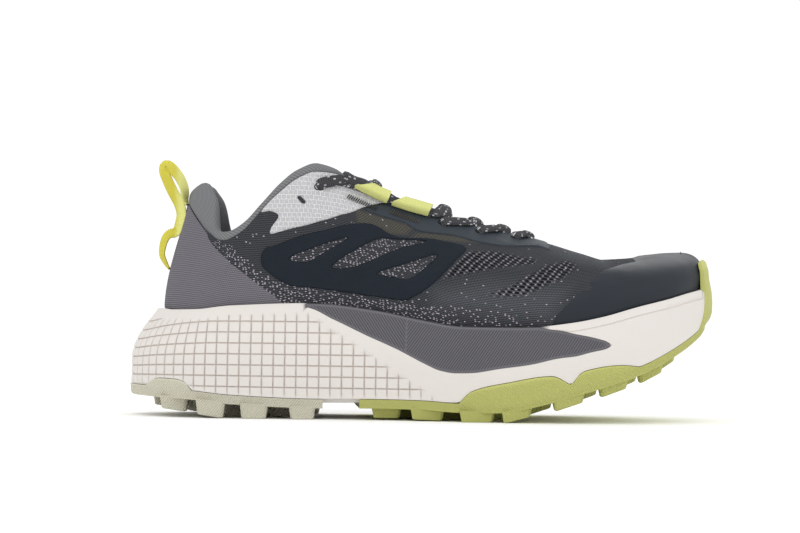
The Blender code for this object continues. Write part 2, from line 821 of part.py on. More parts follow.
def lug(bm, corners, draft):
    """One lug: a tapered block under the plate, its foot on the line of the floor."""
    middle = np.mean(corners, axis=0)
    foot = []
    head = []
    for x, y in corners:
        at = x / SOLE_LENGTH + 0.5
        floor = float(table(SOLE_NAMES, SOLE, "floor", at)) * SIDE_HEIGHT
        plate = float(table(SOLE_NAMES, SOLE, "plate", at)) * SIDE_HEIGHT
        way = unit(np.array([x, y]) - middle)
        foot.append(bm.verts.new((x, y, floor)))
        head.append(bm.verts.new((x + way[0] * draft, y + way[1] * draft,
                                  plate + PLATE_THICKNESS * 0.5)))
    bm.faces.new(foot[::-1])
    bm.faces.new(head)
    for i in range(len(corners)):
        j = (i + 1) % len(corners)
        bm.faces.new((foot[i], foot[j], head[j], head[i]))


def lug_corners(at, share, length, width, sweep):
    """Plan corners of one lug: place along the sole, share across it, sizes and sweep."""
    x = (at - 0.5) * SOLE_LENGTH
    low = float(half_width(-1.0, at))
    high = float(half_width(1.0, at))
    y = low + (high - low) * share
    half = 0.5 * length * SOLE_LENGTH
    side = 0.5 * width * BALL_WIDTH
    slant = sweep * half
    return np.array([
        (x - half, y - side), (x + half, y - side + slant),
        (x + half, y + side + slant), (x - half, y + side),
    ])


def half_width(side, at):
    """Distance from the middle line to the edge of the sole at a share of its length."""
    share = np.linspace(0.0, 1.0, 400)
    place, _ = side_outline(side, share)
    return np.interp((at - 0.5) * SOLE_LENGTH, place[:, 0], place[:, 1])


def build_outsole(name, stations, lugs, material):
    """Rubber plate that wraps up the side, with its lugs in one piece."""
    outer_rows = []
    inner_rows = []
    for k in range(2):
        bite = C.sole["bite"][k]
        plate = C.sole["plate"][k]
        top = C.wrap[k]
        inset = -WRAP_THICKNESS + np.where(C.share > TOE_FIT_FROM, TOE_FIT, GAP)
        outer = []
        inner = []
        for share in WALL_ROWS:
            height = C.bottom[k] + EDGE_BEVEL + (top - C.bottom[k] - EDGE_BEVEL) * share
            above = np.clip((height - bite) / np.maximum(C.top[k][:, 2] - bite, GAP), 0.0, 1.0)
            low_height = np.minimum(height, bite)
            face = C.wall(k, C.lean(k, low_height), low_height)
            back = C.wall(k, C.lean(k, low_height) + inset, low_height)
            for i in np.nonzero(height > bite)[0]:
                skin = bumper_point(k, i, above[i])
                face[i] = skin[0]
                back[i] = skin[1]
            outer.append(face)
            inner.append(back)
        lean = np.minimum(C.lean(k, np.minimum(C.wrap[k] + GAP, bite)), 0.0)
        outer.append(C.wall(k, lean, plate + PLATE_THICKNESS))
        outer.append(C.wall(k, lean - EDGE_BEVEL, plate))
        inner.append(C.wall(k, lean + inset, C.bottom[k] + EDGE_BEVEL - GAP))
        inner.append(C.wall(k, lean + inset - EDGE_BEVEL, plate + PLATE_THICKNESS))
        outer_rows.append([row[stations] for row in outer])
        inner_rows.append([row[stations] for row in inner])
    outer, inner = sole_ring(outer_rows, inner_rows, 3)
    keep = np.ones((outer.shape[0] - 1, outer.shape[1] - 1), dtype=bool)
    obj = layer(name, outer, inner, keep, False, material)
    bm = bmesh.new()
    for row in lugs:
        lug(bm, lug_corners(*row), LUG_DRAFT)
    combine(obj, cutter(name + "_lugs", bm), "UNION")
    obj.data.shade_flat()
    return obj


def bumper_point(k, i, above):
    """Outer and inner point of the toe bumper above the midsole, over the toe cap."""
    row = (BUMPER_START + BUMPER_RISE * above) * (len(FINE) - 1)
    low = int(row)
    column = number(k, i)
    point = FINE[low, column] + (FINE[low + 1, column] - FINE[low, column]) * (row - low)
    normal = FINE_NORMAL[low, column]
    near = OVERLAY_THICKNESS + TOE_FIT + 2.0 * GAP
    return point + normal * (near + BUMPER_THICKNESS), point + normal * near


def surface(times):
    """Outer face of the upper as rows of closed rounds, with its normals."""
    grid = np.stack([C.ring([C.upper(0, t), C.upper(1, t)]) for t in times])
    around = grid.shape[1]
    pairs = [(i, (around - i) % around) for i in range(1, LAST) if C.ridge[i]]
    return grid, grid_normals(grid, pairs)


def upper_times(first):
    """Rows of the upper from a first one to its top edge."""
    return [first] + [(i + 1.0) / UPPER_ROWS for i in range(UPPER_ROWS)]


def build_upper():
    """Hollow upper: open at the collar and throat, and underneath."""
    grid, normal = surface([-1.0] + upper_times(0.0))
    inner = grid - normal * UPPER_WALL
    inner[0, :, 2] = grid[0, :, 2]
    keep = np.ones((grid.shape[0] - 1, grid.shape[1]), dtype=bool)
    return layer("upper", grid, inner, keep, True, MATERIALS["upper"])


MATERIALS = {
    "midsole": paint("midsole", (0.80, 0.76, 0.71), 0.6),
    "outsole_heel": paint("outsole_heel", (0.67, 0.64, 0.54), 0.7),
    "outsole_forefoot": paint("outsole_forefoot", (0.51, 0.52, 0.16), 0.7),
    "insert": paint("insert", (0.13, 0.12, 0.13), 0.7),
    "upper": paint("upper", (0.05, 0.05, 0.06), 0.9),
    "film": paint("film", (0.03, 0.035, 0.05), 0.5),
    "collar": paint("collar", (0.14, 0.14, 0.14), 0.9),
    "quarter": paint("quarter", (0.58, 0.58, 0.61), 0.8),
    "heel_panel": paint("heel_panel", (0.18, 0.16, 0.19), 0.9),
    "webbing": paint("webbing", (0.68, 0.63, 0.10), 0.8),
    "lace": paint("lace", (0.05, 0.05, 0.05), 0.8),
    "insole": paint("insole", (0.1, 0.1, 0.1), 0.9),
}


def build_insole():
    """Flat insole on the foot bed, inside the upper."""
    sections = []
    for k in range(2):
        bite = C.sole["bite"][k]
        bed = C.sole["bed"][k]
        foot = -(C.sole["lean"][k] + C.sole["rim"][k] + LEDGE_STEP)
        rise = INSOLE_THICKNESS / (bite - bed)
        low = foot - CUP_DRAFT - UPPER_WALL * INSOLE_FIT - 2.0 * GAP
        high = low + CUP_DRAFT * rise
        sections.append([C.wall(k, low, bed + 2.0 * GAP), C.wall(k, high, bed + INSOLE_THICKNESS)])
    lateral, medial = sections
    rings = lateral + between(lateral[1], medial[1], 3)
    rings += medial[::-1] + between(medial[0], lateral[0], 3)
    return loft("insole", np.stack(rings, axis=1), False, MATERIALS["insole"])


def down(column, distance):
    """Point and normal on the outer face at a distance down a column from its top edge."""
    points = FINE[:, column][::-1]
    normals = FINE_NORMAL[:, column][::-1]
    run = np.concatenate([[0.0], np.cumsum(np.linalg.norm(np.diff(points, axis=0), axis=1))])
    if distance < 0.0:
        way = unit(points[0] - points[2])
        return points[0] - way * distance, normals[0]
    point = np.array([np.interp(distance, run, points[:, a]) for a in range(3)])
    normal = np.array([np.interp(distance, run, normals[:, a]) for a in range(3)])
    return point, unit(normal)


def edge_way(column):
    """Way in which the upper's face runs up to its top edge."""
    return unit(down(column, 0.0)[0] - down(column, CROWN_RUN)[0])


def number(k, i):
    """Place of a column in a closed round."""
    return i if k == 0 else (2 * SIDE_COLUMNS + 2 - i) % (2 * SIDE_COLUMNS + 2)


def build_collar():
    """Padded collar: rolls over the top edge and lines the inside of the ankle."""
    used = [i for i in range(1, LAST) if C.share[i] <= COLLAR_END]
    roll = {name: table(ROLL_NAMES, ROLL, name, C.share) for name in ROLL_NAMES[1:]}
    order = [(1, i) for i in used[::-1]] + [(0, 0)] + [(0, i) for i in used]
    rings = []
    for k, i in order:
        column = number(k, i)
        rise = roll[("lateral", "medial")[k]][i]
        section = []
        for out, up in COLLAR:
            up = up * rise if up > 0.0 else up
            out = out * roll["thick"][i] if out < 0.0 else out
            point, normal = down(column, -up * COLLAR_DEPTH)
            inside = (UPPER_WALL + 2.0 * GAP) * (up < 0.0)
            section.append(point + normal * (out * COLLAR_DEPTH - inside))
        section.append(down(column, -GAP)[0] - down(column, 0.0)[1] * (UPPER_WALL + 2.0 * GAP))
        rings.append(section)
    return loft("collar", np.array(rings), True, MATERIALS["collar"])


def tongue_rows(lift, lap):
    """Rows across the throat at a lift from the upper's outer face, from side to side."""
    stations = [i for i in range(LAST) if TONGUE_START <= C.share[i] <= TONGUE_END]
    rows = []
    ways = []
    for i in stations:
        low = [down(number(0, i), d) for d in (lap, TONGUE_TUCK * lap, 0.0)]
        high = [down(number(1, i), d) for d in (lap, TONGUE_TUCK * lap, 0.0)]
        left, left_normal = low[-1]
        right, right_normal = high[-1]
        left = left + left_normal * lift
        right = right + right_normal * lift
        reach = np.linalg.norm(right - left) * CROWN
        left_way = edge_way(number(0, i))
        right_way = edge_way(number(1, i))
        row = [p + n * lift for p, n in low]
        way = [n for _, n in low]
        for t in (0.25, 0.5, 0.75):
            up = unit(left_normal * (1 - t) + right_normal * t)
            pad = TONGUE_PAD * math.sin(math.pi * t) * min(reach / TONGUE_FULL_REACH, 1.0)
            row.append((1 - t) ** 3 * left + 3 * (1 - t) ** 2 * t * (left + left_way * reach)
                       + 3 * (1 - t) * t**2 * (right + right_way * reach) + t**3 * right
                       + up * pad)
            way.append(up)
        row += [p + n * lift for p, n in high[::-1]]
        way += [n for _, n in high[::-1]]
        rows.append(row)
        ways.append(way)
    return np.array(rows), np.array(ways)


def build_tongue():
    """Padded tongue under the eyestays and the front of the throat."""
    lift = -(UPPER_WALL + 2.0 * GAP)
    rows, ways = tongue_rows(lift, TONGUE_LAP)
    thickness = np.full(rows.shape[1], TONGUE_THICKNESS)
    thickness[0] = thickness[-1] = TONGUE_THICKNESS * TONGUE_EDGE
    back = rows - ways * thickness[None, :, None]
    keep = np.ones((rows.shape[0] - 1, rows.shape[1] - 1), dtype=bool)
    return layer("tongue", rows, back, keep, False, MATERIALS["film"])


def skin(name, near, far, sides, outline, windows, material):
    """Overlay: a layer of the upper's own outer face, cut to a side outline."""
    grid, normal = surface(upper_times(0.0))
    grid[0] += (grid[1] - grid[0]) * SKIN_START
    normal[0] += (normal[1] - normal[0]) * SKIN_START
    around = grid.shape[1]
    keep = np.zeros((grid.shape[0] - 1, around), dtype=bool)
    low = min(x for x, _ in outline) - CUT_MARGIN
    high = max(x for x, _ in outline) + CUT_MARGIN
    for c in range(around):
        side = -1 if c < SIDE_COLUMNS + 1 else 1
        x = grid[:, [c, (c + 1) % around], 0] / SOLE_LENGTH + 0.5
        keep[:, c] = side in sides and x.min() < high and x.max() > low
    obj = layer(name, grid + normal * far, grid + normal * near, keep, True, material)
    reach = (-BALL_WIDTH if -1 in sides else 0.0, BALL_WIDTH if 1 in sides else 0.0)
    place = [((x - 0.5) * SOLE_LENGTH, z * SHELL_HEIGHT) for x, z in outline]
    combine(obj, prism(name + "_outline", place, *reach), "INTERSECT")
    for i, window in enumerate(windows):
        hole = [((x - 0.5) * SOLE_LENGTH, z * SHELL_HEIGHT) for x, z in window]
        combine(obj, prism(name + "_window_%d" % i, hole, *reach), "DIFFERENCE")
    obj.data.shade_smooth()
    return obj


def crown_point(share, across, lift):
    """Point over the throat at a share along and across it, and the way up from it."""
    i = int(np.clip(np.searchsorted(C.share, share) - 1, 0, LAST - 1))
    f = (share - C.share[i]) / (C.share[i + 1] - C.share[i])
    both = []
    for j in (i, i + 1):
        left, left_normal = down(number(0, j), LACE_SET)
        right, right_normal = down(number(1, j), LACE_SET)
        left_way = edge_way(number(0, j))
        right_way = edge_way(number(1, j))
        reach = np.linalg.norm(right - left) * CROWN
        t = across
        point = ((1 - t) ** 3 * left + 3 * (1 - t) ** 2 * t * (left + left_way * reach)
                 + 3 * (1 - t) * t**2 * (right + right_way * reach) + t**3 * right)
        up = unit(left_normal * (1 - t) + right_normal * t)
        both.append((point + up * lift, up))
    (low, low_up), (high, high_up) = both
    return low * (1.0 - f) + high * f, unit(low_up * (1.0 - f) + high_up * f)


def strand(name, start, end, first, last, lift, material):
    """Flat oval lace from one side of the throat to the other."""
    path = []
    faces = []
    for i in range(LACE_STEPS + 1):
        t = i / LACE_STEPS
        point, up = crown_point(start + (end - start) * t, first + (last - first) * t, lift)
        path.append(point)
        faces.append(up)
    path = np.array(path)
    along = unit(np.gradient(path, axis=0))
    rings = []
    for point, up, way in zip(path, faces, along):
        wide = unit(np.cross(way, up))
        up = unit(np.cross(wide, way))
        rings.append([
            point + wide * math.cos(a) * 0.5 * LACE_WIDTH + up * math.sin(a) * 0.5 * LACE_THICKNESS
            for a in np.linspace(0.0, 2.0 * math.pi, 6, endpoint=False)
        ])
    return loft(name, np.array(rings), True, material)


def build_laces():
    """Lace over the tongue: a bar at the front, then crossings up to the wings."""
    lift = 0.5 * LACE_THICKNESS + OVERLAY_THICKNESS + 3.0 * GAP
    material = MATERIALS["lace"]
    for n, share in enumerate(LACE_BARS):
        strand("lace_bar_%d" % (n + 1), share, share, BAR_END, 1.0 - BAR_END, lift, material)
    for n, (front, back, ends) in enumerate(CROSSINGS):
        room = LACE_ROOM * (front - back)
        reach = (front - room, back + room)
        first = strand("lace_cross_%d" % (n + 1), *reach, ends, 1.0 - ends, lift, material)
        second = strand("crossing", *reach, 1.0 - ends, ends, lift, material)
        combine(first, second, "UNION")
        first.data.shade_smooth()
        bpy.data.objects.remove(second)


def build_tunnels():
    """Webbing tunnels on the edge of the throat that the lace runs through."""
    for k, side in enumerate(("lateral", "medial")):
        for n, share in enumerate(TUNNELS):
            rings = []
            for step in (-0.5, 0.5):
                place = share + step * TUNNEL_LENGTH / (EDGE_RUN * SOLE_LENGTH)
                i = int(np.searchsorted(C.share, place) - 1)
                f = (place - C.share[i]) / (C.share[i + 1] - C.share[i])
                ends = [down(number(k, j), TUNNEL_SET) for j in (i, i + 1)]
                point = ends[0][0] * (1 - f) + ends[1][0] * f
                normal = unit(ends[0][1] * (1 - f) + ends[1][1] * f)
                tops = [down(number(k, j), 0.0)[0] for j in (i, i + 1)]
                top = tops[0] * (1 - f) + tops[1] * f
                rings.append((point, normal, unit(top - point)))
            outer = []
            for point, normal, up in rings:
                base = point + normal * (OVERLAY_THICKNESS + 3.0 * GAP)
                half = 0.5 * TUNNEL_WIDTH
                tall = LACE_THICKNESS + 2.0 * TUNNEL_THICKNESS + 2.0 * GAP
                shoulder = TUNNEL_SHOULDER * tall
                crest = TUNNEL_CREST * half
                shape = [(-half, 0.0), (half, 0.0), (half, shoulder), (crest, tall),
                         (-crest, tall), (-half, shoulder)]
                wall = TUNNEL_THICKNESS / TUNNEL_WIDTH * 2.0
                ring = [base + up * a + normal * b for a, b in shape]
                hole = [base + up * a * (1.0 - wall)
                        + normal * (TUNNEL_THICKNESS + b * (1.0 - 2.0 * TUNNEL_THICKNESS / tall))
                        for a, b in shape]
                outer.append(ring + hole)
            points = np.array(outer)
            faces = []
            count = points.shape[1] // 2
            size = 2 * count
            for a in range(count):
                b = (a + 1) % count
                faces.append((a, b, size + b, size + a))
                faces.append((count + b, count + a, size + count + a, size + count + b))
                faces.append((b, a, count + a, count + b))
                faces.append((size + a, size + b, size + count + b, size + count + a))
            bm = bmesh.new()
            add_faces(bm, points.reshape(-1, 3), faces)
            finish(bm, "lace_tunnel_%s_%d" % (side, n + 1), MATERIALS["webbing"])


def build_pull_loop():
    """Heel strap of webbing: a free loop over the collar and a bow down the heel."""
    base = 2.0 * GAP + OVERLAY_THICKNESS + 0.5 * STRAP_THICKNESS
    path = []
    for out, drop in PULL_LOOP:
        point, normal = down(0, drop * STRAP_WIDTH)
        path.append(point + normal * (base + out * STRAP_WIDTH))
    path = np.array(path)
    fine = []
    count = len(path)
    for i in range(count - 1):
        before = path[max(i - 1, 0)]
        after = path[min(i + 2, count - 1)]
        for t in (0.0, 0.5):
            a = 2.0 * path[i]
            b = path[i + 1] - before
            c = 2.0 * before - 5.0 * path[i] + 4.0 * path[i + 1] - after
            d = -before + 3.0 * path[i] - 3.0 * path[i + 1] + after
            fine.append(0.5 * (a + b * t + c * t**2 + d * t**3))
    fine.append(path[-1])
    fine = np.array(fine)
    across = np.array([0.0, STRAP_WIDTH, 0.0])
    side = unit(np.cross(np.gradient(fine, axis=0), across)) * 0.5 * STRAP_THICKNESS
    rings = []
    for point, off in zip(fine, side):
        rings.append([point + off * sign + across * y
                      for sign, y in ((1, -0.5), (1, 0.5), (-1, 0.5), (-1, -0.5))])
    return loft("pull_loop", np.array(rings), True, MATERIALS["webbing"])


def build_side_insert(k, name):
    """Grey ribbed side piece, set into the step of the midsole."""
    low, high, here = side_inserts(k)
    stations = np.nonzero(here)[0]
    outer = []
    inner = []
    for share in (0.0, 0.5, 1.0):
        height = low + GAP + (high - low - 2.0 * GAP) * share
        lean = C.lean(k, low) * (1.0 - share) + C.lean(k, high) * share
        outer.append(C.wall(k, lean, height)[stations])
        inner.append(C.wall(k, lean - INSERT_DEPTH + GAP, height)[stations])
    outer = np.stack(outer)
    inner = np.stack(inner)
    keep = np.ones((2, len(stations) - 1), dtype=bool)
    return layer(name, outer, inner, keep, False, MATERIALS["insert"])


FINE, FINE_NORMAL = surface([i / FINE_ROWS for i in range(FINE_ROWS + 1)])
HEEL_STATIONS = [i for i in range(LAST + 1) if C.at[0][i] <= HEEL_PLATE_END]
FORE_STATIONS = [i for i in range(LAST + 1) if C.at[0][i] >= FORE_PLATE_START]

build_midsole()
build_outsole("outsole_heel", HEEL_STATIONS, HEEL_LUGS, MATERIALS["outsole_heel"])
build_outsole("outsole_forefoot", FORE_STATIONS, FORE_LUGS, MATERIALS["outsole_forefoot"])
build_side_insert(0, "side_insert_lateral")
build_side_insert(1, "side_insert_medial")
build_upper()
build_insole()
build_collar()
build_tongue()
FILM = (GAP, GAP + OVERLAY_THICKNESS)
skin("toe_cap", *FILM, (-1, 1), TOE_CAP, (), MATERIALS["film"])
skin("heel_panel", *FILM, (-1, 1), HEEL_PANEL, (), MATERIALS["heel_panel"])
for side, word in ((-1, "lateral"), (1, "medial")):
    skin("cage_" + word, *FILM, (side,), CAGE, (WINDOW_1, WINDOW_2, WINDOW_3), MATERIALS["film"])
    skin("eyestay_" + word, *FILM, (side,), EYESTAY, (), MATERIALS["film"])
    skin("quarter_" + word, *FILM, (side,), QUARTER, (), MATERIALS["quarter"])
build_laces()
build_tunnels()
build_pull_loop()
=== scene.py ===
"""Looks of a trail running shoe, right foot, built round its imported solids.

Metres, +Z up. The toe points to +X, the inner (medial) side to +Y. The same
tables and functions as the solids' source give the fine surfaces here.
"""

import math
from functools import partial

import bmesh
import bpy
import numpy as np
from bpy.props import FloatProperty, FloatVectorProperty, PointerProperty
from mathutils import Matrix, Vector
from mathutils.bvhtree import BVHTree
from mathutils.geometry import barycentric_transform, delaunay_2d_cdt


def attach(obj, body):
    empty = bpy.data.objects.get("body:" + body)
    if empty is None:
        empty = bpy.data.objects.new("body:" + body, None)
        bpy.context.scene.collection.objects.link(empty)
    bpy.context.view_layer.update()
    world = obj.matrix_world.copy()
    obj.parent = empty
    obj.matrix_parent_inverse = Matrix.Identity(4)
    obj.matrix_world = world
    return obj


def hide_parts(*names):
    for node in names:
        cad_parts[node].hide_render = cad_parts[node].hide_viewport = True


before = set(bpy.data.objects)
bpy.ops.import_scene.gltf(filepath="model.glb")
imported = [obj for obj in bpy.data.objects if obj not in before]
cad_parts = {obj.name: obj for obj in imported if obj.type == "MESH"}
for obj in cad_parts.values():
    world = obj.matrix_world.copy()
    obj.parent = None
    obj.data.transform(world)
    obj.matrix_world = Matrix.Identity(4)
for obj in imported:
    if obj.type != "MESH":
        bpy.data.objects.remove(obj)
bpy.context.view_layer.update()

bl_info = {
    "name": "Trail running shoe",
    "version": (1, 0, 0),
    "blender": (4, 5, 0),
    "location": "3D View > Sidebar > Shoe",
    "description": "Fine surfaces, cloth, films, lace and stage of a trail running shoe",
    "category": "Add Mesh",
}

# Main sizes
SOLE_LENGTH = 0.300
BALL_WIDTH = 0.112
SIDE_HEIGHT = 0.058
SHELL_HEIGHT = 0.1245
GAP = 0.0003

# Sole
PLATE_THICKNESS = 0.0025
WRAP_THICKNESS = 0.0025
EDGE_BEVEL = 0.0015
LEDGE_DROP = 0.0046
LEDGE_STEP = 0.0008
INSERT_DEPTH = 0.0018
INSERT_LIP = 0.0012
CUP_DRAFT = 0.0040
LUG_DRAFT = 0.0012
HEEL_ROUND = 0.155
TOE_ROUND = 0.210
HEEL_MIDDLE = -0.010
TOE_MIDDLE = 0.085
TOE_FULLNESS = 2.3
HEEL_PLATE_END = 0.335
FORE_PLATE_START = 0.395
LEDGE_START = 0.70
NORMAL_REACH = 0.006

# Upper
UPPER_WALL = 0.0024
OVERLAY_THICKNESS = 0.0008
BUMPER_THICKNESS = 0.0020
BUMPER_START = 0.04
BUMPER_RISE = 0.55
INSOLE_THICKNESS = 0.0045
COLLAR_END = 0.385
TONGUE_START = 0.395
TONGUE_END = 0.755
TONGUE_THICKNESS = 0.0050
TONGUE_LAP = 0.0110
CROWN = 0.13
TONGUE_PAD = 0.0033
TONGUE_FULL_REACH = 0.0040
LAP_END = 0.0012
QUILT_HEIGHT = 0.0005
QUILT_PITCH = 0.012
CROWN_RUN = 0.004

# Webbing and lace
LACE_WIDTH = 0.0058
LACE_THICKNESS = 0.0025
STRAP_THICKNESS = 0.0013
STRAP_WIDTH = 0.0100
TUNNEL_THICKNESS = 0.0009

# Detail of the lofts
COLUMN_CROWDING = 0.040

# Plan of the sole: share of its length, then shares of the ball width
PLAN_NAMES = ("at", "lateral", "medial")
PLAN = (
    (0.0, 0.384, 0.366), (0.15, 0.402, 0.384), (0.25, 0.398, 0.366), (0.35, 0.389, 0.335),
    (0.45, 0.4, 0.331), (0.55, 0.449, 0.384), (0.63, 0.487, 0.447), (0.7, 0.5, 0.491),
    (0.77, 0.487, 0.5), (0.85, 0.447, 0.485), (0.93, 0.395, 0.456), (1.0, 0.345, 0.425),
)

# Side of the sole: share of its length, then shares of the side height,
# and for lean and rim shares of the ball width
SOLE_NAMES = ("at", "floor", "plate", "bite", "bed", "lean", "rim")
SOLE = (
    (0.0, 0.11, 0.18, 0.945, 0.7, 0.112, 0.031), (0.05, 0.085, 0.17, 0.93, 0.69, 0.105, 0.031),
    (0.11, 0.045, 0.155, 0.935, 0.67, 0.085, 0.031), (0.18, 0.0, 0.12, 0.97, 0.66, 0.072, 0.031),
    (0.32, 0.0, 0.095, 0.999, 0.65, 0.058, 0.031), (0.42, 0.018, 0.1, 0.945, 0.615, 0.045, 0.031),
    (0.5, 0.012, 0.095, 0.862, 0.575, 0.036, 0.031), (0.56, 0.0, 0.078, 0.817, 0.545, 0.032, 0.031),
    (0.63, 0.0, 0.08, 0.814, 0.53, 0.03, 0.031), (0.68, 0.055, 0.13, 0.819, 0.54, 0.03, 0.031),
    (0.74, 0.141, 0.215, 0.853, 0.575, 0.03, 0.031), (0.8, 0.238, 0.31, 0.914, 0.635, 0.028, 0.031),
    (0.86, 0.345, 0.414, 1.0, 0.715, 0.026, 0.03), (0.92, 0.5, 0.57, 1.078, 0.81, 0.02, 0.028),
    (0.97, 0.69, 0.745, 1.152, 0.91, 0.01, 0.031), (1.0, 0.85, 0.9, 1.185, 0.97, 0.006, 0.031),
)

# How far the side has leaned in at a share of its height
LEAN_NAMES = ("up", "lean")
LEAN = (
    (0.0, 0.0), (0.38, 0.01), (0.5, 0.07), (0.62, 0.21), (0.8, 0.56), (1.0, 1.0),
)

# Upper edge of the two outsoles on the side of the midsole
WRAP_NAMES = ("at", "top")
WRAP = (
    (0.0, 0.276), (0.032, 0.27), (0.058, 0.333), (0.09, 0.326), (0.107, 0.29), (0.118, 0.221),
    (0.2, 0.188), (0.262, 0.165), (0.295, 0.1), (0.55, 0.09), (0.562, 0.172), (0.58, 0.259),
    (0.64, 0.34), (0.712, 0.4), (0.728, 0.37), (0.742, 0.334), (0.757, 0.42), (0.768, 0.452),
    (0.83, 0.5), (0.866, 0.488), (0.885, 0.54), (0.93, 0.65), (0.965, 0.8), (0.978, 0.98),
    (0.986, 1.36), (1.0, 1.43),
)

# Grey side piece: lower and upper edge on the side of the midsole
INSERT_NAMES = ("at", "low", "high")
INSERT = (
    (0.302, 0.962, 0.99), (0.352, 0.855, 0.985), (0.403, 0.731, 0.955), (0.453, 0.619, 0.915),
    (0.503, 0.489, 0.85), (0.527, 0.436, 0.83), (0.553, 0.415, 0.808), (0.577, 0.418, 0.802),
    (0.625, 0.458, 0.802), (0.675, 0.497, 0.805), (0.723, 0.555, 0.793), (0.75, 0.574, 0.764),
    (0.775, 0.609, 0.741), (0.798, 0.636, 0.712), (0.8075, 0.648, 0.698),
)

# Top edge of the upper: share of the way from heel to toe, share of the
# length, middle and half opening as shares of the ball width, and share of
# the shell height. From the row with no opening on it is the ridge of the toe.
EDGE_NAMES = ("along", "at", "middle", "half", "height")
EDGE = (
    (0.0, 0.093, -0.01, 0.0, 0.876), (0.05, 0.1, -0.01, 0.107, 0.85), (0.1, 0.114, -0.01, 0.188, 0.803),
    (0.15, 0.137, -0.012, 0.245, 0.741), (0.2, 0.163, -0.014, 0.275, 0.714),
    (0.237, 0.193, -0.016, 0.282, 0.75), (0.267, 0.225, -0.016, 0.28, 0.835),
    (0.295, 0.255, -0.015, 0.275, 0.912), (0.325, 0.287, -0.013, 0.265, 0.974),
    (0.352, 0.316, -0.01, 0.255, 1.0), (0.38, 0.347, -0.008, 0.243, 0.994),
    (0.41, 0.377, -0.006, 0.23, 0.962), (0.464, 0.433, 0.0, 0.206, 0.896),
    (0.521, 0.5, 0.005, 0.183, 0.843), (0.584, 0.573, 0.01, 0.16, 0.799),
    (0.647, 0.643, 0.018, 0.129, 0.765), (0.687, 0.686, 0.022, 0.085, 0.745),
    (0.715, 0.71, 0.024, 0.0, 0.735), (0.755, 0.752, 0.028, 0.0, 0.701),
    (0.8, 0.793, 0.034, 0.0, 0.667), (0.85, 0.843, 0.042, 0.0, 0.673), (0.9, 0.887, 0.052, 0.0, 0.686),
    (0.95, 0.92, 0.062, 0.0, 0.695), (1.0, 0.945, 0.072, 0.0, 0.698),
)

# Bend of each column of the upper: lean of its foot and of its top in
# degrees from upright, and the reach of both as shares of its height
BEND_NAMES = ("along", "foot", "top", "foot_reach", "top_reach")
BEND = (
    (0.0, -1.0, 10.0, 0.36, 0.3), (0.12, 2.0, 16.0, 0.34, 0.3), (0.24, 4.0, 10.0, 0.34, 0.3),
    (0.35, 5.0, 8.0, 0.34, 0.34), (0.41, 6.0, 22.0, 0.34, 0.34), (0.5, 9.0, 42.0, 0.34, 0.34),
    (0.6, 12.0, 58.0, 0.36, 0.36), (0.68, 13.0, 72.0, 0.38, 0.38), (0.73, 13.0, 86.0, 0.38, 0.4),
    (0.85, 12.0, 90.0, 0.42, 0.44), (1.0, 8.0, 90.0, 0.5, 0.52),
)

# Lugs: share of the length, share across the sole, length and width as shares of the
# length and of the ball width, and how far the front end sweeps. Each that isn't on the
# middle line has a twin on the other side.
HEEL_LUGS = (
    (0.085, 0.1, 0.04, 0.11, 0.3), (0.148, 0.06, 0.042, 0.11, 0.3), (0.22, 0.06, 0.04, 0.11, 0.3),
    (0.3, 0.07, 0.038, 0.11, 0.3), (0.06, 0.5, 0.034, 0.15, 0.0), (0.12, 0.36, 0.036, 0.11, 0.5),
    (0.185, 0.36, 0.036, 0.11, 0.5), (0.26, 0.36, 0.036, 0.11, 0.5),
)
FORE_LUGS = (
    (0.44, 0.14, 0.044, 0.11, 0.3), (0.508, 0.09, 0.05, 0.11, 0.3), (0.59, 0.06, 0.052, 0.11, 0.3),
    (0.655, 0.06, 0.044, 0.11, 0.3), (0.74, 0.06, 0.046, 0.11, 0.3), (0.815, 0.08, 0.042, 0.11, 0.3),
    (0.88, 0.12, 0.036, 0.11, 0.3), (0.47, 0.36, 0.04, 0.11, 0.6), (0.545, 0.35, 0.04, 0.11, 0.6),
    (0.62, 0.35, 0.04, 0.11, 0.6), (0.698, 0.35, 0.04, 0.11, 0.6), (0.775, 0.35, 0.04, 0.11, 0.6),
    (0.845, 0.36, 0.036, 0.11, 0.6), (0.915, 0.38, 0.03, 0.1, 0.4),
)

# Section of the padded collar: out from the upper's face and up from its
# edge, as shares of the collar's depth
COLLAR_DEPTH = 0.024
COLLAR = (
    (0.0, 0.013), (0.015, 0.09), (-0.04, 0.175), (-0.15, 0.215), (-0.28, 0.16), (-0.25, -0.08),
    (-0.23, -0.4), (-0.12, -0.75), (0.0, -1.0),
)
# How many times higher and thicker the collar's roll is round the heel
ROLL_NAMES = ("along", "lateral", "medial", "thick")
ROLL = (
    (0.0, 1.9, 1.9, 1.35), (0.05, 2.85, 2.85, 1.25), (0.1, 3.75, 3.75, 1.1), (0.14, 3.95, 4.15, 1.0),
    (0.158, 3.2, 3.8, 1.0), (0.172, 1.1, 3.1, 1.0), (0.188, 1.0, 1.8, 1.0), (0.206, 1.0, 1.0, 1.0),
    (0.27, 1.0, 1.0, 1.0), (1.0, 1.0, 1.0, 1.0),
)

# Places of the tape tunnels along the throat, and how long the throat's edge is for each
# metre of the sole
TUNNELS = (0.498, 0.437)
EDGE_RUN = 1.11

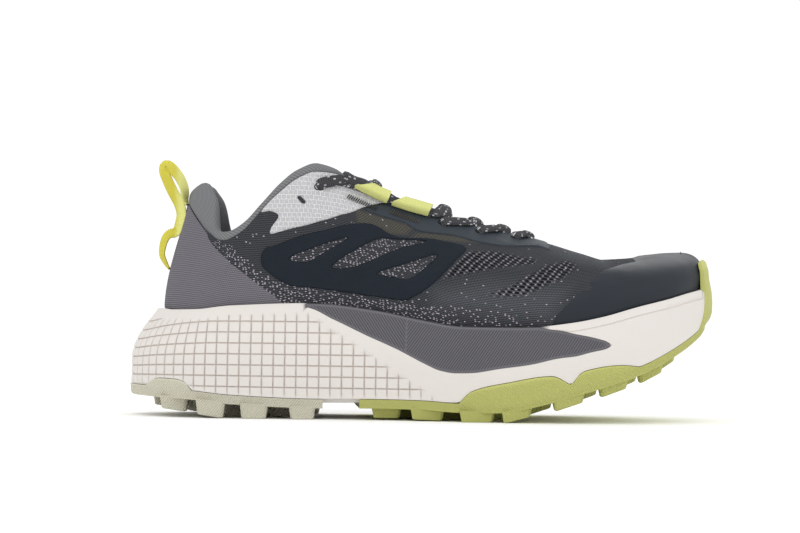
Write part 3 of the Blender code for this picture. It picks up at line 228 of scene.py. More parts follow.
# Side outlines of the overlays: share of the length, share of the shell height
CAGE = (
    (0.2266, 0.657), (0.2376, 0.691), (0.2464, 0.693), (0.274, 0.721), (0.3247, 0.758), (0.3663, 0.784),
    (0.4115, 0.788), (0.4553, 0.739), (0.5122, 0.733), (0.5693, 0.7), (0.5495, 0.636), (0.5364, 0.602),
    (0.505, 0.529), (0.4818, 0.495), (0.4635, 0.482), (0.3931, 0.503), (0.3261, 0.524), (0.2688, 0.541),
    (0.232, 0.602),
)
WINDOWS = ((
    (0.2745, 0.648), (0.3217, 0.696), (0.371, 0.731), (0.3219, 0.657), (0.3012, 0.631), (0.2863, 0.635),
), (
    (0.3456, 0.616), (0.3862, 0.685), (0.4252, 0.73), (0.452, 0.727), (0.5022, 0.721), (0.4589, 0.693),
    (0.414, 0.645), (0.3774, 0.613),
), (
    (0.4227, 0.591), (0.4843, 0.642), (0.5209, 0.666), (0.4929, 0.597), (0.4723, 0.567),
    (0.4512, 0.574),
))
EYESTAY = (
    (0.4011, 0.852), (0.4311, 0.873), (0.449, 0.924), (0.46, 0.95), (0.5066, 0.9), (0.5755, 0.85),
    (0.6343, 0.81), (0.7064, 0.76), (0.7132, 0.697), (0.6897, 0.71), (0.64, 0.706), (0.59, 0.722),
    (0.55, 0.746), (0.495, 0.76), (0.48, 0.775), (0.46, 0.8), (0.42, 0.826),
)
QUARTER = (
    (0.2415, 0.835), (0.2545, 0.815), (0.242, 0.764), (0.2484, 0.745), (0.3078, 0.785), (0.3661, 0.829),
    (0.3977, 0.858), (0.4277, 0.879), (0.4442, 0.926), (0.3561, 1.085), (0.2724, 1.082),
    (0.2266, 0.919),
)
# Path of the heel strap: out from the heel and down from the top edge of the
# shell, as shares of the strap's width
PULL_LOOP = (
    (0.02, -0.15), (0.15, -0.66), (0.5, -1.2), (1.0, -1.62), (1.37, -1.76), (1.43, -1.5), (1.17, -1.05),
    (0.73, -0.45), (0.32, 0.05), (0.06, 0.55), (0.01, 0.95), (0.01, 1.4), (0.06, 1.62), (0.38, 1.8),
    (0.52, 2.2), (0.46, 2.85), (0.22, 3.2), (0.02, 3.4),
)

# Section of the heel strap, as shares of its width and thickness
STRAP_SECTION = (
    (-0.5, 0.0), (-0.46, 0.42), (-0.25, 0.5), (0.0, 0.5), (0.25, 0.5), (0.46, 0.42), (0.5, 0.0),
    (0.46, -0.42), (0.25, -0.5), (0.0, -0.5), (-0.25, -0.5), (-0.46, -0.42),
)

# Fineness of the surfaces
SKIN_COLUMNS = 200
SKIN_ROWS = 64
INSERT_COLUMNS = 600
INSERT_ROWS = 44
OUTSOLE_COLUMNS = 260
PATCH_COLUMNS = 90
TOE_ROWS = 60
HEEL_ROWS = 40
TONGUE_ROWS = 70
COLLAR_STEPS = 90

# Lengths that the maps are measured with
ARC = 0.335
TALL = 0.085
SIDE_RUN = 0.335

# Grooved pads on the heel's side: top and bottom lines as shares of the side height
PAD_NAMES = ("at", "top", "low")
PADS = (
    (0.0, 0.82, 0.205), (0.05, 0.87, 0.195), (0.1, 0.905, 0.185), (0.16, 0.925, 0.18),
    (0.3, 0.93, 0.176), (1.0, 0.93, 0.176),
)
PAD_ROWS = 8
PADS_END = 0.60
PAD_FRONT = 0.302
PAD_FRONT_HEIGHT = 0.0545
PAD_FRONT_SLOPE = 0.645

# Ribs of the side piece: where they turn, how they slant and about what height, the length
# of its blunt tip, and the shares of the way round that its rows are laid between
RIB_TURN = 0.47
RIB_SLANT = 0.62
RIB_MIDDLE = 0.040
INSERT_TIP = 0.0018
INSERT_SPAN = (0.24, 0.84)

# Rear edge of the toe cap in side view, from its foot up, how far its teeth stand out, and
# its fine ribs
TOE_LINE = (
    (0.7117, 0.405), (0.7176, 0.429), (0.7404, 0.486), (0.7663, 0.551), (0.7983, 0.614),
    (0.8336, 0.642), (0.8605, 0.656),
)
TOE_SAW = 0.0012
TOE_RIB_PITCH = 0.0016
TOE_RIB_HEIGHT = 0.00007

# Front ends of the collar: where they start to thin, and how far they run on
COLLAR_THIN = 0.03
COLLAR_TAIL = 0.014

# Films: distance between points, width of their rounded edge, and depth in the knit
FILM_SPACING = 0.0020
FILM_EDGE = 0.0006
FILM_SINK = 0.0003

# Rubber and lugs
RUBBER_PROUD = 0.0006
LUG_CORNER = 0.0012
LUG_EDGE = 0.0009
RIDGE_START = 0.71

# Soft troughs and ridges of the upper: side (2 for both), share along, share
# up, half reach along, half width up, slope, and height in metres
CREASES = (
    (2, 0.56, 0.3, 0.085, 0.1, -0.35, -0.0011), (2, 0.64, 0.46, 0.06, 0.08, -0.8, 0.0009),
    (2, 0.7, 0.4, 0.045, 0.07, -1.2, -0.0008), (2, 0.46, 0.78, 0.06, 0.06, 0.2, 0.0006),
    (2, 0.3, 0.45, 0.05, 0.1, 0.6, -0.0008), (2, 0.2, 0.6, 0.045, 0.12, 0.9, 0.0008),
    (0, 0.76, 0.3, 0.035, 0.1, -1.6, -0.0005), (1, 0.56, 0.55, 0.07, 0.09, -0.5, 0.0006),
)

# Zones of the knit in side view: strength, reach of the soft edge in metres, then the
# corners as share of the length and share of the shell height
FLECK_ZONES = (
    (0.8, 0.003, (0.134, 0.735), (0.162, 0.722), (0.198, 0.66), (0.228, 0.585), (0.278, 0.535),
    (0.29, 0.44), (0.255, 0.44), (0.211, 0.548), (0.18, 0.608), (0.147, 0.676)), (0.72, 0.005,
    (0.262, 0.565), (0.327, 0.54), (0.394, 0.52), (0.464, 0.5), (0.52, 0.478), (0.56, 0.455),
    (0.58, 0.35), (0.48, 0.36), (0.32, 0.4), (0.25, 0.42)), (0.42, 0.007, (0.48, 0.505), (0.56, 0.48),
    (0.64, 0.455), (0.715, 0.43), (0.735, 0.33), (0.56, 0.33), (0.48, 0.34)), (0.55, 0.0015,
    (0.262, 0.64), (0.3, 0.7), (0.37, 0.745), (0.5, 0.732), (0.535, 0.672), (0.5, 0.57), (0.41, 0.565),
    (0.34, 0.59), (0.28, 0.61)), (0.34, 0.002, (0.23, 0.69), (0.262, 0.728), (0.33, 0.778),
    (0.38, 0.806), (0.395, 0.79), (0.33, 0.748), (0.274, 0.71)), (0.16, 0.006, (0.16, 0.725),
    (0.215, 0.79), (0.245, 0.77), (0.24, 0.62), (0.215, 0.59)), (0.1, 0.006, (0.54, 0.56), (0.7, 0.48),
    (0.74, 0.42), (0.7, 0.4), (0.54, 0.45)),
)
NET_ZONES = (
    (1.0, 0.0016, (0.572, 0.688), (0.622, 0.69), (0.69, 0.655), (0.688, 0.632), (0.622, 0.612),
    (0.522, 0.562)), (1.0, 0.002, (0.593, 0.505), (0.64, 0.545), (0.7, 0.632), (0.742, 0.662),
    (0.76, 0.625), (0.732, 0.575), (0.668, 0.5), (0.63, 0.492)),
)
WARM_ZONES = (
    (1.0, 0.0012, (0.38, 0.855), (0.484, 0.785), (0.47, 0.745), (0.425, 0.745), (0.385, 0.79)), (0.9,
    0.0012, (0.47, 0.722), (0.485, 0.76), (0.56, 0.762), (0.6, 0.745), (0.59, 0.715), (0.53, 0.722)),
)
TONE_ZONES = (
    (0.7, 0.008, (0.69, 0.78), (0.79, 0.73), (0.83, 0.7), (0.815, 0.6), (0.74, 0.64), (0.69, 0.7)),
    (0.45, 0.01, (0.5, 0.56), (0.6, 0.6), (0.76, 0.57), (0.72, 0.36), (0.5, 0.42)),
)

ZONES = {"fleck": FLECK_ZONES, "net": NET_ZONES, "warm": WARM_ZONES, "tone": TONE_ZONES}

# Front edge of the heel panel in side view: share of the length, share of the shell height
HEEL_EDGE = (
    (0.1342, 0.9), (0.1342, 0.78), (0.135, 0.726), (0.1478, 0.684), (0.18, 0.615), (0.2122, 0.555),
    (0.2511, 0.488), (0.2646, 0.464), (0.27, 0.416),
)

# Spare lace slot in the ripstop: share of the length, share of the shell height
SPARE_SLOT = (
    (0.286, 0.897), (0.29, 0.899), (0.299, 0.878), (0.2985, 0.868), (0.294, 0.868), (0.2855, 0.89),
)

# Soft waves of the collar: distance over the roll and reach, then for each share along,
# half width, waves and height
PUCKER_PLACE = 0.012
PUCKER_REACH = 0.008
COLLAR_PUCKERS = (
    (0.2, 0.045, 5.0, 0.0004), (0.1, 0.03, 3.0, 0.0003), (0.3, 0.05, 4.0, 0.0003),
)

# Pairs of lace runs, one from each side: place in side view where they come out, extra
# height over the throat of each, run along to its own edge and then to the other edge as
# shares, and how late it turns to the edge. They go in at LACE_TAIL of the way across.
LACE_LIFT = 0.0018
LACE_TAIL = 0.92
LACE_START = ((-0.06, -0.0024), (0.02, 0.0002), *((part, LACE_LIFT) for part in (0.12, 0.40, 0.65, 0.88)))
LACE_STEP = 0.0022
LACE_POINTS = 14
LACE_RUNS = (
    (0.6532, 0.744, (-0.001, 0.001), 0.016, 0.006, 1.0),
    (0.5918, 0.765, (-0.001, 0.001), 0.029, 0.01, 1.0),
    (0.5283, 0.798, (-0.001, 0.001), 0.04, 0.012, 1.0),
    (0.506, 0.838, (0.0012, 0.003), 0.012, 0.014, 1.0),
    (0.3194, 0.937, (0.0002, 0.0018), 0.084, 0.01, 0.62),
)
EYELETS = ((0.6532, 0.744), (0.5918, 0.765), (0.5283, 0.798), (0.3194, 0.937))
EYELET_LONG = 0.0016
EYELET_WIDE = 0.0014
EYELET_RIM = (
    (0.0, -0.0008), (0.9, -0.0004), (1.0, OVERLAY_THICKNESS + 0.0001), (0.96, OVERLAY_THICKNESS + 0.0003),
    (1.16, OVERLAY_THICKNESS + 0.0003), (1.22, OVERLAY_THICKNESS - 0.0002), (1.2, -0.0010), (0.0, -0.0010),
)

# Bar tacks in side view: start and end as shares of length and height
TACKS = (
    ((0.4420, 0.838), (0.4880, 0.800)),
    ((0.3700, 0.898), (0.4170, 0.848)),
)

# Tape tunnels: distance down from the throat's edge, width, half the run that their tilt is
# taken over, length, and for each how far the upper end of its rear and of its front cut
# stands forward
TAPE_SET = 0.0012
TAPE_WIDTH = 0.0066
TAPE_SIDE = 0.0025
TAPE_LENGTH = 0.0176
TAPE_ENDS = ((0.0070, 0.0015), (0.0110, 0.0015))

# Stage: lights as place, size, power and colour
LIGHTS = (
    ("key", (-0.5, -1.3, 1.5), (1.2, 1.2), 7.5, (1.0, 0.99, 0.97)),
    ("fill", (1.4, -0.9, 0.9), (1.2, 1.2), 2.5, (0.97, 0.98, 1.0)),
    ("back", (0.2, 1.4, 1.3), (1.5, 1.0), 4.5, (1.0, 1.0, 1.0)),
)
CAMERA_PLACE = (-0.0122, -1.120, 0.045)
CAMERA_AIM = (-0.0122, 0.0, 0.078)
CAMERA_LENS = 97.3
CAMERA_ROLL = 0.8

# Foam: over what height its grooves fade at their ends and at the border of the pads, where
# its rows begin to run towards the side piece, over what share its ledge begins, how many
# of its last rows carry painted shade over the side piece, and the height of its soft lips
GROOVE_FADE = 0.0006
BORDER_FADE = 0.002
CALM_START = 0.27
LEDGE_EASE = 0.04
DARK_ROWS = 10
EDGE_EASE = 0.0008

# Width of a seam between two pieces, and how deep the side piece's edge sits
SEAM = 0.0002
INSERT_SET = 0.0004


def table(names, rows, name, where):
    """Value of one named column at one or many places, without overshoot."""
    x = np.array([row[0] for row in rows])
    y = np.array([row[names.index(name)] for row in rows])
    where = np.clip(np.asarray(where, dtype=float), x[0], x[-1])
    step = np.diff(x)
    slope = np.diff(y) / step
    bend = np.zeros(len(x))
    for i in range(1, len(x) - 1):
        if slope[i - 1] * slope[i] > 0.0:
            first = 2.0 * step[i] + step[i - 1]
            second = step[i] + 2.0 * step[i - 1]
            bend[i] = (first + second) / (first / slope[i - 1] + second / slope[i])
    i = np.clip(np.searchsorted(x, where, side="right") - 1, 0, len(x) - 2)
    t = (where - x[i]) / step[i]
    return (
        (2.0 * t**3 - 3.0 * t**2 + 1.0) * y[i]
        + (t**3 - 2.0 * t**2 + t) * step[i] * bend[i]
        + (3.0 * t**2 - 2.0 * t**3) * y[i + 1]
        + (t**3 - t**2) * step[i] * bend[i + 1]
    )


def held(share):
    """Numbers held between nought and one."""
    return np.clip(share, 0.0, 1.0)


def unit(v):
    """Vector or vectors at length one."""
    return v / np.maximum(np.linalg.norm(v, axis=-1, keepdims=True), 1e-12)


def travel(points):
    """Distance gone at each point of a run."""
    return np.concatenate([[0.0], np.cumsum(np.linalg.norm(np.diff(points, axis=0), axis=1))])


def side_outline(side, share):
    """Plan points and outward normals of one side at shares of its run from heel to toe."""
    u = 0.5 - 0.5 * np.cos(np.linspace(0.0, math.pi, 3001))
    half = side * table(PLAN_NAMES, PLAN, "lateral" if side < 0 else "medial", u)
    heel = held(u / HEEL_ROUND)
    toe = held((1.0 - u) / TOE_ROUND)
    heel_round = np.sqrt(np.maximum(1.0 - (1.0 - heel) ** 2, 0.0))
    toe_round = np.maximum(1.0 - (1.0 - toe) ** TOE_FULLNESS, 0.0) ** (1.0 / TOE_FULLNESS)
    y = np.where(u < 0.5, HEEL_MIDDLE + (half - HEEL_MIDDLE) * heel_round,
                 TOE_MIDDLE + (half - TOE_MIDDLE) * toe_round)
    points = np.stack([(u - 0.5) * SOLE_LENGTH, y * BALL_WIDTH], axis=1)
    run = travel(points)
    run /= run[-1]

    def at(where):
        return np.stack([np.interp(where, run, points[:, a]) for a in range(2)], axis=1)

    along = unit(at(share + NORMAL_REACH) - at(share - NORMAL_REACH))
    return at(share), np.stack([-along[:, 1] * side, along[:, 0] * side], axis=1)


class Columns:
    """Paired columns round the shoe: heel middle, outer side, toe tip, inner side."""

    def __init__(self, share):
        self.share = np.asarray(share, dtype=float)
        count = len(self.share)
        self.plan, self.normal = np.stack([side_outline(side, self.share) for side in (-1.0, 1.0)], axis=1)
        self.normal[:, 0] = (-1.0, 0.0)
        self.normal[:, -1] = (1.0, 0.0)
        at = self.at = self.plan[:, :, 0] / SOLE_LENGTH + 0.5
        self.sole = {
            name: table(SOLE_NAMES, SOLE, name, at)
            * (BALL_WIDTH if name in ("lean", "rim") else SIDE_HEIGHT)
            for name in SOLE_NAMES[1:]
        }
        wrap = table(WRAP_NAMES, WRAP, "top", at) * SIDE_HEIGHT
        self.bottom = self.sole["plate"] + PLATE_THICKNESS + GAP
        self.wrap = np.maximum(wrap, self.bottom + EDGE_BEVEL + GAP)
        self.covered = self.wrap > self.sole["bite"]
        for k in range(2):
            first = int(np.argmax(self.covered[k]))
            self.wrap[k][first] = self.sole["bite"][k][first]
        edge = {name: table(EDGE_NAMES, EDGE, name, self.share) for name in EDGE_NAMES[1:]}
        bend = {name: table(BEND_NAMES, BEND, name, self.share) for name in BEND_NAMES[1:]}
        self.ridge = edge["half"] <= 0.0
        self.foot, self.feather, self.handle_low, self.handle_high, self.top = np.zeros((5, 2, count, 3))
        for k, side in enumerate((-1.0, 1.0)):
            inset = self.sole["lean"][k] + self.sole["rim"][k] + LEDGE_STEP
            foot = self.plan[k] - self.normal[k] * inset[:, None]
            feather = foot - self.normal[k] * CUP_DRAFT
            self.foot[k] = np.column_stack([foot, self.sole["bite"][k]])
            self.feather[k] = np.column_stack([feather, self.sole["bed"][k] + GAP])
            top = self.top[k]
            top[:, 0] = (edge["at"] - 0.5) * SOLE_LENGTH
            top[:, 1] = (edge["middle"] + side * edge["half"]) * BALL_WIDTH
            top[:, 2] = edge["height"] * SHELL_HEIGHT
            reach = np.linalg.norm(top - self.foot[k], axis=1)
            out = np.column_stack([self.normal[k], np.zeros(count)])
            up = np.array([0.0, 0.0, 1.0])
            low = np.radians(bend["foot"])[:, None]
            high = np.radians(bend["top"])[:, None]
            low_way = np.cos(low) * up + np.sin(low) * out
            high_way = -np.cos(high) * up + np.sin(high) * out
            self.handle_low[k] = self.foot[k] + low_way * (reach * bend["foot_reach"])[:, None]
            self.handle_high[k] = top + high_way * (reach * bend["top_reach"])[:, None]

    def lean(self, k, height):
        """Offset of the midsole's side from the plan outline at a height of each column."""
        rise = (height - self.bottom[k]) / (self.sole["bite"][k] - self.bottom[k])
        return -self.sole["lean"][k] * table(LEAN_NAMES, LEAN, "lean", rise)

    def wall(self, k, offset, height):
        """Points at an offset from the plan outline and at a height."""
        return np.column_stack([self.plan[k] + self.normal[k] * offset[:, None], height])

    def upper(self, k, t):
        """Outer face of the upper: -1 feather, 0 top of the midsole, 1 top edge."""
        if t < 0.0:
            return self.foot[k] + (self.feather[k] - self.foot[k]) * -t
        return (
            (1.0 - t) ** 3 * self.foot[k]
            + 3.0 * (1.0 - t) ** 2 * t * self.handle_low[k]
            + 3.0 * (1.0 - t) * t**2 * self.handle_high[k]
            + t**3 * self.top[k]
        )


class Skin:
    """Outer face of the upper as fine rows and columns, with its soft creases."""

    def __init__(self):
        self.columns = Columns(crowded(SKIN_COLUMNS))
        self.share = self.columns.share
        self.times = np.linspace(0.0, 1.0, SKIN_ROWS + 1)
        self.points = np.stack([
            np.stack([self.columns.upper(k, t) for t in self.times]) for k in range(2)
        ])
        self.normals = self.find_normals()
        for k in range(2):
            lift = crease_lift(k, self.share[None, :], self.times[:, None])
            self.points[k] += self.normals[k] * lift[:, :, None]
        self.normals = self.find_normals()
        step = np.linalg.norm(np.diff(self.points, axis=1), axis=3)
        start = np.zeros((2, 1, len(self.share)))
        self.run = np.concatenate([start, np.cumsum(step, axis=1)], axis=1)
        self.trees = [self.build_tree(k) for k in range(2)]

    def find_normals(self):
        """Outward normals of both sides, shared along the ridge, the heel and the toe."""
        lateral, medial = self.points
        ring = np.concatenate([lateral, medial[:, -2:0:-1]], axis=1)
        across = np.roll(ring, -1, axis=1) - np.roll(ring, 1, axis=1)
        normal = unit(np.cross(np.gradient(ring, axis=0), across))
        if normal[len(ring) // 2, 3, 0] > 0.0:
            normal = -normal
        last = lateral.shape[1] - 1
        for i in np.nonzero(self.columns.ridge)[0]:
            other = (ring.shape[1] - i) % ring.shape[1]
            shared = unit((normal[-1, i] + normal[-1, other]) * np.array([1.0, 0.0, 1.0]))
            normal[-1, i] = normal[-1, other] = shared
        back = np.concatenate([normal[:, :1], normal[:, :last:-1]], axis=1)
        return np.stack([normal[:, : last + 1], np.concatenate([back, normal[:, last:last + 1]], axis=1)])

    def build_tree(self, k):
        """Search tree of one side, with the place of each corner of its triangles."""
        rows, cols = self.points[k].shape[:2]
        points = [Vector(p) for p in self.points[k].reshape(-1, 3)]
        triangles = []
        for a, b, c, d in grid_faces(rows, cols, cols - 1):
            triangles += [(a, b, c), (a, c, d)]
        return BVHTree.FromPolygons(points, triangles), points, triangles, cols

    def locate(self, k, at, up):
        """Shares along and up of the place seen from the side at shares of length and height."""
        tree, points, triangles, cols = self.trees[k]
        side = -1.0 if k == 0 else 1.0
        x = (at - 0.5) * SOLE_LENGTH
        z = up * SHELL_HEIGHT
        eye = Vector((x, side * BALL_WIDTH, z))
        hit, _, index, _ = tree.ray_cast(eye, Vector((0.0, -side, 0.0)))
        if hit is None:
            c = float(np.interp(x, self.points[k][-1, :, 0], np.arange(cols)))
            return float(np.interp(c, np.arange(cols), self.share)), 1.0
        corners = triangles[index]
        places = [Vector((self.share[i % cols], self.times[i // cols], 0.0)) for i in corners]
        place = barycentric_transform(hit, *[points[i] for i in corners], *places)
        return place.x, place.y

    def blend(self, grid, share, t):
        """Value of a grid at shares along and up, between its four nearest points."""
        c = np.clip(np.interp(share, self.share, np.arange(len(self.share))), 0, len(self.share) - 1.001)
        r = np.minimum(held(t) * SKIN_ROWS, SKIN_ROWS - 1e-6)
        c0, r0 = np.asarray(c).astype(int), np.asarray(r).astype(int)
        fc, fr = np.asarray(c - c0), np.asarray(r - r0)
        if grid.ndim > 2:
            fc, fr = fc[..., None], fr[..., None]
        return ((grid[r0, c0] * (1 - fc) + grid[r0, c0 + 1] * fc) * (1 - fr)
                + (grid[r0 + 1, c0] * (1 - fc) + grid[r0 + 1, c0 + 1] * fc) * fr)

    def at(self, k, share, t, height=0.0):
        """Points and normals at shares along and up one side, and a height over them."""
        share, t = np.broadcast_arrays(np.asarray(share, dtype=float), np.asarray(t, dtype=float))
        normal = unit(self.blend(self.normals[k], share, t))
        height = np.asarray(height, dtype=float)[..., None]
        return self.blend(self.points[k], share, t) + normal * height, normal

    def length(self, k, share, t):
        """Distance up the face from the midsole to a place."""
        return self.blend(self.run[k], share, t)

    def down(self, k, share, distance, height=0.0):
        """Points and normals at distances down from the top edge, or over it if below nought."""
        share = np.atleast_1d(np.asarray(share, dtype=float))
        distance = np.broadcast_to(np.asarray(distance, dtype=float), share.shape)
        height = np.broadcast_to(np.asarray(height, dtype=float), share.shape)
        t = np.zeros(len(share))
        for n, (s, d) in enumerate(zip(share, distance)):
            run = self.length(k, np.full(len(self.times), s), self.times)
            t[n] = np.interp(run[-1] - max(d, 0.0), run, self.times)
        point, normal = self.at(k, share, t, height)
        top, _ = self.at(k, share, np.ones(len(share)))
        below, _ = self.at(k, share, np.full(len(share), 1.0 - 2.0 / SKIN_ROWS))
        return point + unit(top - below) * np.maximum(-distance, 0.0)[:, None], normal


def crowded(count):
    """Shares from heel to toe that crowd towards both ends."""
    i = np.linspace(0.0, 1.0, count)
    return i - COLUMN_CROWDING * np.sin(2.0 * math.pi * i)


def crease_lift(k, share, t):
    """Height of the soft troughs and ridges that the upper's face has."""
    lift = np.zeros(np.broadcast(share, t).shape)
    for side, along, up, reach, width, slope, height in CREASES:
        if side != 2 and side != k:
            continue
        off = (t - up - slope * (share - along)) / width
        lift += height * np.exp(-((share - along) / reach) ** 2 - off**2)
    return lift * held(t * 8.0) * held((1.0 - t) * 8.0)


def mesh_piece(name, points, faces, material, uv=None, marks=None, sharp=40.0, merge=0.000002):
    """Mesh object with its map and marks, its doubles merged and its faces outward."""
    mesh = bpy.data.meshes.new(name)
    mesh.from_pydata([tuple(p) for p in np.asarray(points)], [], faces)
    if uv is not None:
        layer = mesh.uv_layers.new(name="UVMap")
        index = np.zeros(len(mesh.loops), dtype=np.int32)
        mesh.loops.foreach_get("vertex_index", index)
        layer.data.foreach_set("uv", np.asarray(uv, dtype=np.float32)[index].ravel())
    for key, values in (marks or {}).items():
        mark = mesh.attributes.new(key, "FLOAT", "POINT")
        mark.data.foreach_set("value", np.asarray(values, dtype=np.float32).ravel())
    bm = bmesh.new()
    bm.from_mesh(mesh)
    bmesh.ops.remove_doubles(bm, verts=bm.verts, dist=merge)
    bmesh.ops.dissolve_degenerate(bm, edges=bm.edges, dist=0.0000002)
    bmesh.ops.recalc_face_normals(bm, faces=bm.faces)
    bm.to_mesh(mesh)
    bm.free()
    mesh.shade_smooth()
    mesh.set_sharp_from_angle(angle=math.radians(sharp))
    mesh.materials.append(material)
    obj = bpy.data.objects.new(name, mesh)
    bpy.context.scene.collection.objects.link(obj)
    return obj


def grid_faces(rows, cols, span):
    """Faces between the rows of a grid of points, each over a span of its columns."""
    faces = []
    for a in range(0, (rows - 1) * cols, cols):
        faces += [(a + c, a + (c + 1) % cols, a + cols + (c + 1) % cols, a + cols + c) for c in range(span)]
    return faces


def shell(name, outer, inner, closed, material, uv=None, marks=None, joined=None, sharp=40.0):
    """Solid between two like grids; joined says which columns meet along the top."""
    rows, cols = outer.shape[:2]
    size = rows * cols
    span = cols if closed else cols - 1
    faces = grid_faces(rows, cols, span)
    faces += [tuple(i + size for i in face[::-1]) for face in faces]
    for c in range(span):
        d = (c + 1) % cols
        faces.append((d, c, c + size, d + size))
        if joined is None or not (joined[c] and joined[d]):
            a, b = (rows - 1) * cols + c, (rows - 1) * cols + d
            faces.append((a, b, b + size, a + size))
    for r in () if closed else range(rows - 1):
        a, b = r * cols, (r + 1) * cols
        faces.append((a, b, b + size, a + size))
        a, b = a + cols - 1, b + cols - 1
        faces.append((b, a, a + size, b + size))
    points = np.concatenate([outer.reshape(-1, 3), inner.reshape(-1, 3)])
    if uv is not None:
        uv = np.concatenate([uv.reshape(-1, 2), uv.reshape(-1, 2)])
    both = {key: np.concatenate([v.ravel(), v.ravel()]) for key, v in (marks or {}).items()}
    return mesh_piece(name, points, faces, material, uv, both, sharp)


def tube(name, rings, caps, material, uv=None, sharp=40.0, marks=None):
    """Solid through closed sections, with rounded ends left to the sections."""
    count, size = rings.shape[:2]
    faces = grid_faces(count, size, size)
    if caps:
        faces.append(tuple(range(size - 1, -1, -1)))
        faces.append(tuple((count - 1) * size + k for k in range(size)))
    flat = None if uv is None else uv.reshape(-1, 2)
    return mesh_piece(name, rings.reshape(-1, 3), faces, material, flat, marks, sharp)


def join(name, parts):
    """One object from several, named anew."""
    for obj in bpy.context.selected_objects:
        obj.select_set(False)
    for obj in parts:
        obj.select_set(True)
    bpy.context.view_layer.objects.active = parts[0]
    if len(parts) > 1:
        bpy.ops.object.join()
    result = parts[0]
    result.name = name
    result.data.name = name
    result.select_set(False)
    return result


def dress(obj, slot, *nodes):
    """Hang a piece on the root and hide the imported parts that it stands for; slot is not used."""
    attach(obj, "root")
    if nodes:
        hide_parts(*nodes)
    return obj


def curve_through(points, spacing, closed):
    """Smooth run through points, in steps of about one spacing."""
    p = np.asarray(points, dtype=float)
    count = len(p)
    fine = []
    for i in range(count if closed else count - 1):
        if closed:
            a, b, c, d = p[i - 1], p[i], p[(i + 1) % count], p[(i + 2) % count]
        else:
            a, b, c, d = p[max(i - 1, 0)], p[i], p[i + 1], p[min(i + 2, count - 1)]
        steps = max(int(round(np.linalg.norm(c - b) / spacing)), 1)
        for t in np.arange(steps) / steps:
            fine.append(0.5 * (2.0 * b + (c - a) * t + (2.0 * a - 5.0 * b + 4.0 * c - d) * t**2
                               + (3.0 * b - a - 3.0 * c + d) * t**3))
    if not closed:
        fine.append(p[-1])
    return np.array(fine)


def even(points, spacing):
    """Open run of points set at even steps."""
    run = travel(points)
    steps = np.linspace(0.0, run[-1], max(int(round(run[-1] / spacing)), 2) + 1)
    return np.stack([np.interp(steps, run, points[:, a]) for a in range(points.shape[1])], axis=1)


def inside(points, loop):
    """Whether points lie in a closed loop."""
    x, y = points[:, 0:1], points[:, 1:2]
    a, b = loop, np.roll(loop, -1, axis=0)
    crosses = (a[:, 1] > y) != (b[:, 1] > y)
    rise = np.where(np.abs(b[:, 1] - a[:, 1]) < 1e-12, 1e-12, b[:, 1] - a[:, 1])
    meet = a[:, 0] + (y - a[:, 1]) * (b[:, 0] - a[:, 0]) / rise
    return (np.sum(crosses & (x < meet), axis=1) % 2) == 1


def edge_distance(points, loops):
    """Distance from points to the nearest of several closed loops."""
    best = np.full(len(points), 1e9)
    for loop in loops:
        a, b = loop, np.roll(loop, -1, axis=0)
        way = b - a
        size = np.maximum(np.sum(way**2, axis=1), 1e-18)
        t = held(((points[:, None] - a) * way).sum(axis=2) / size)
        gap = np.linalg.norm(points[:, None] - (a + way * t[:, :, None]), axis=2)
        best = np.minimum(best, gap.min(axis=1))
    return best


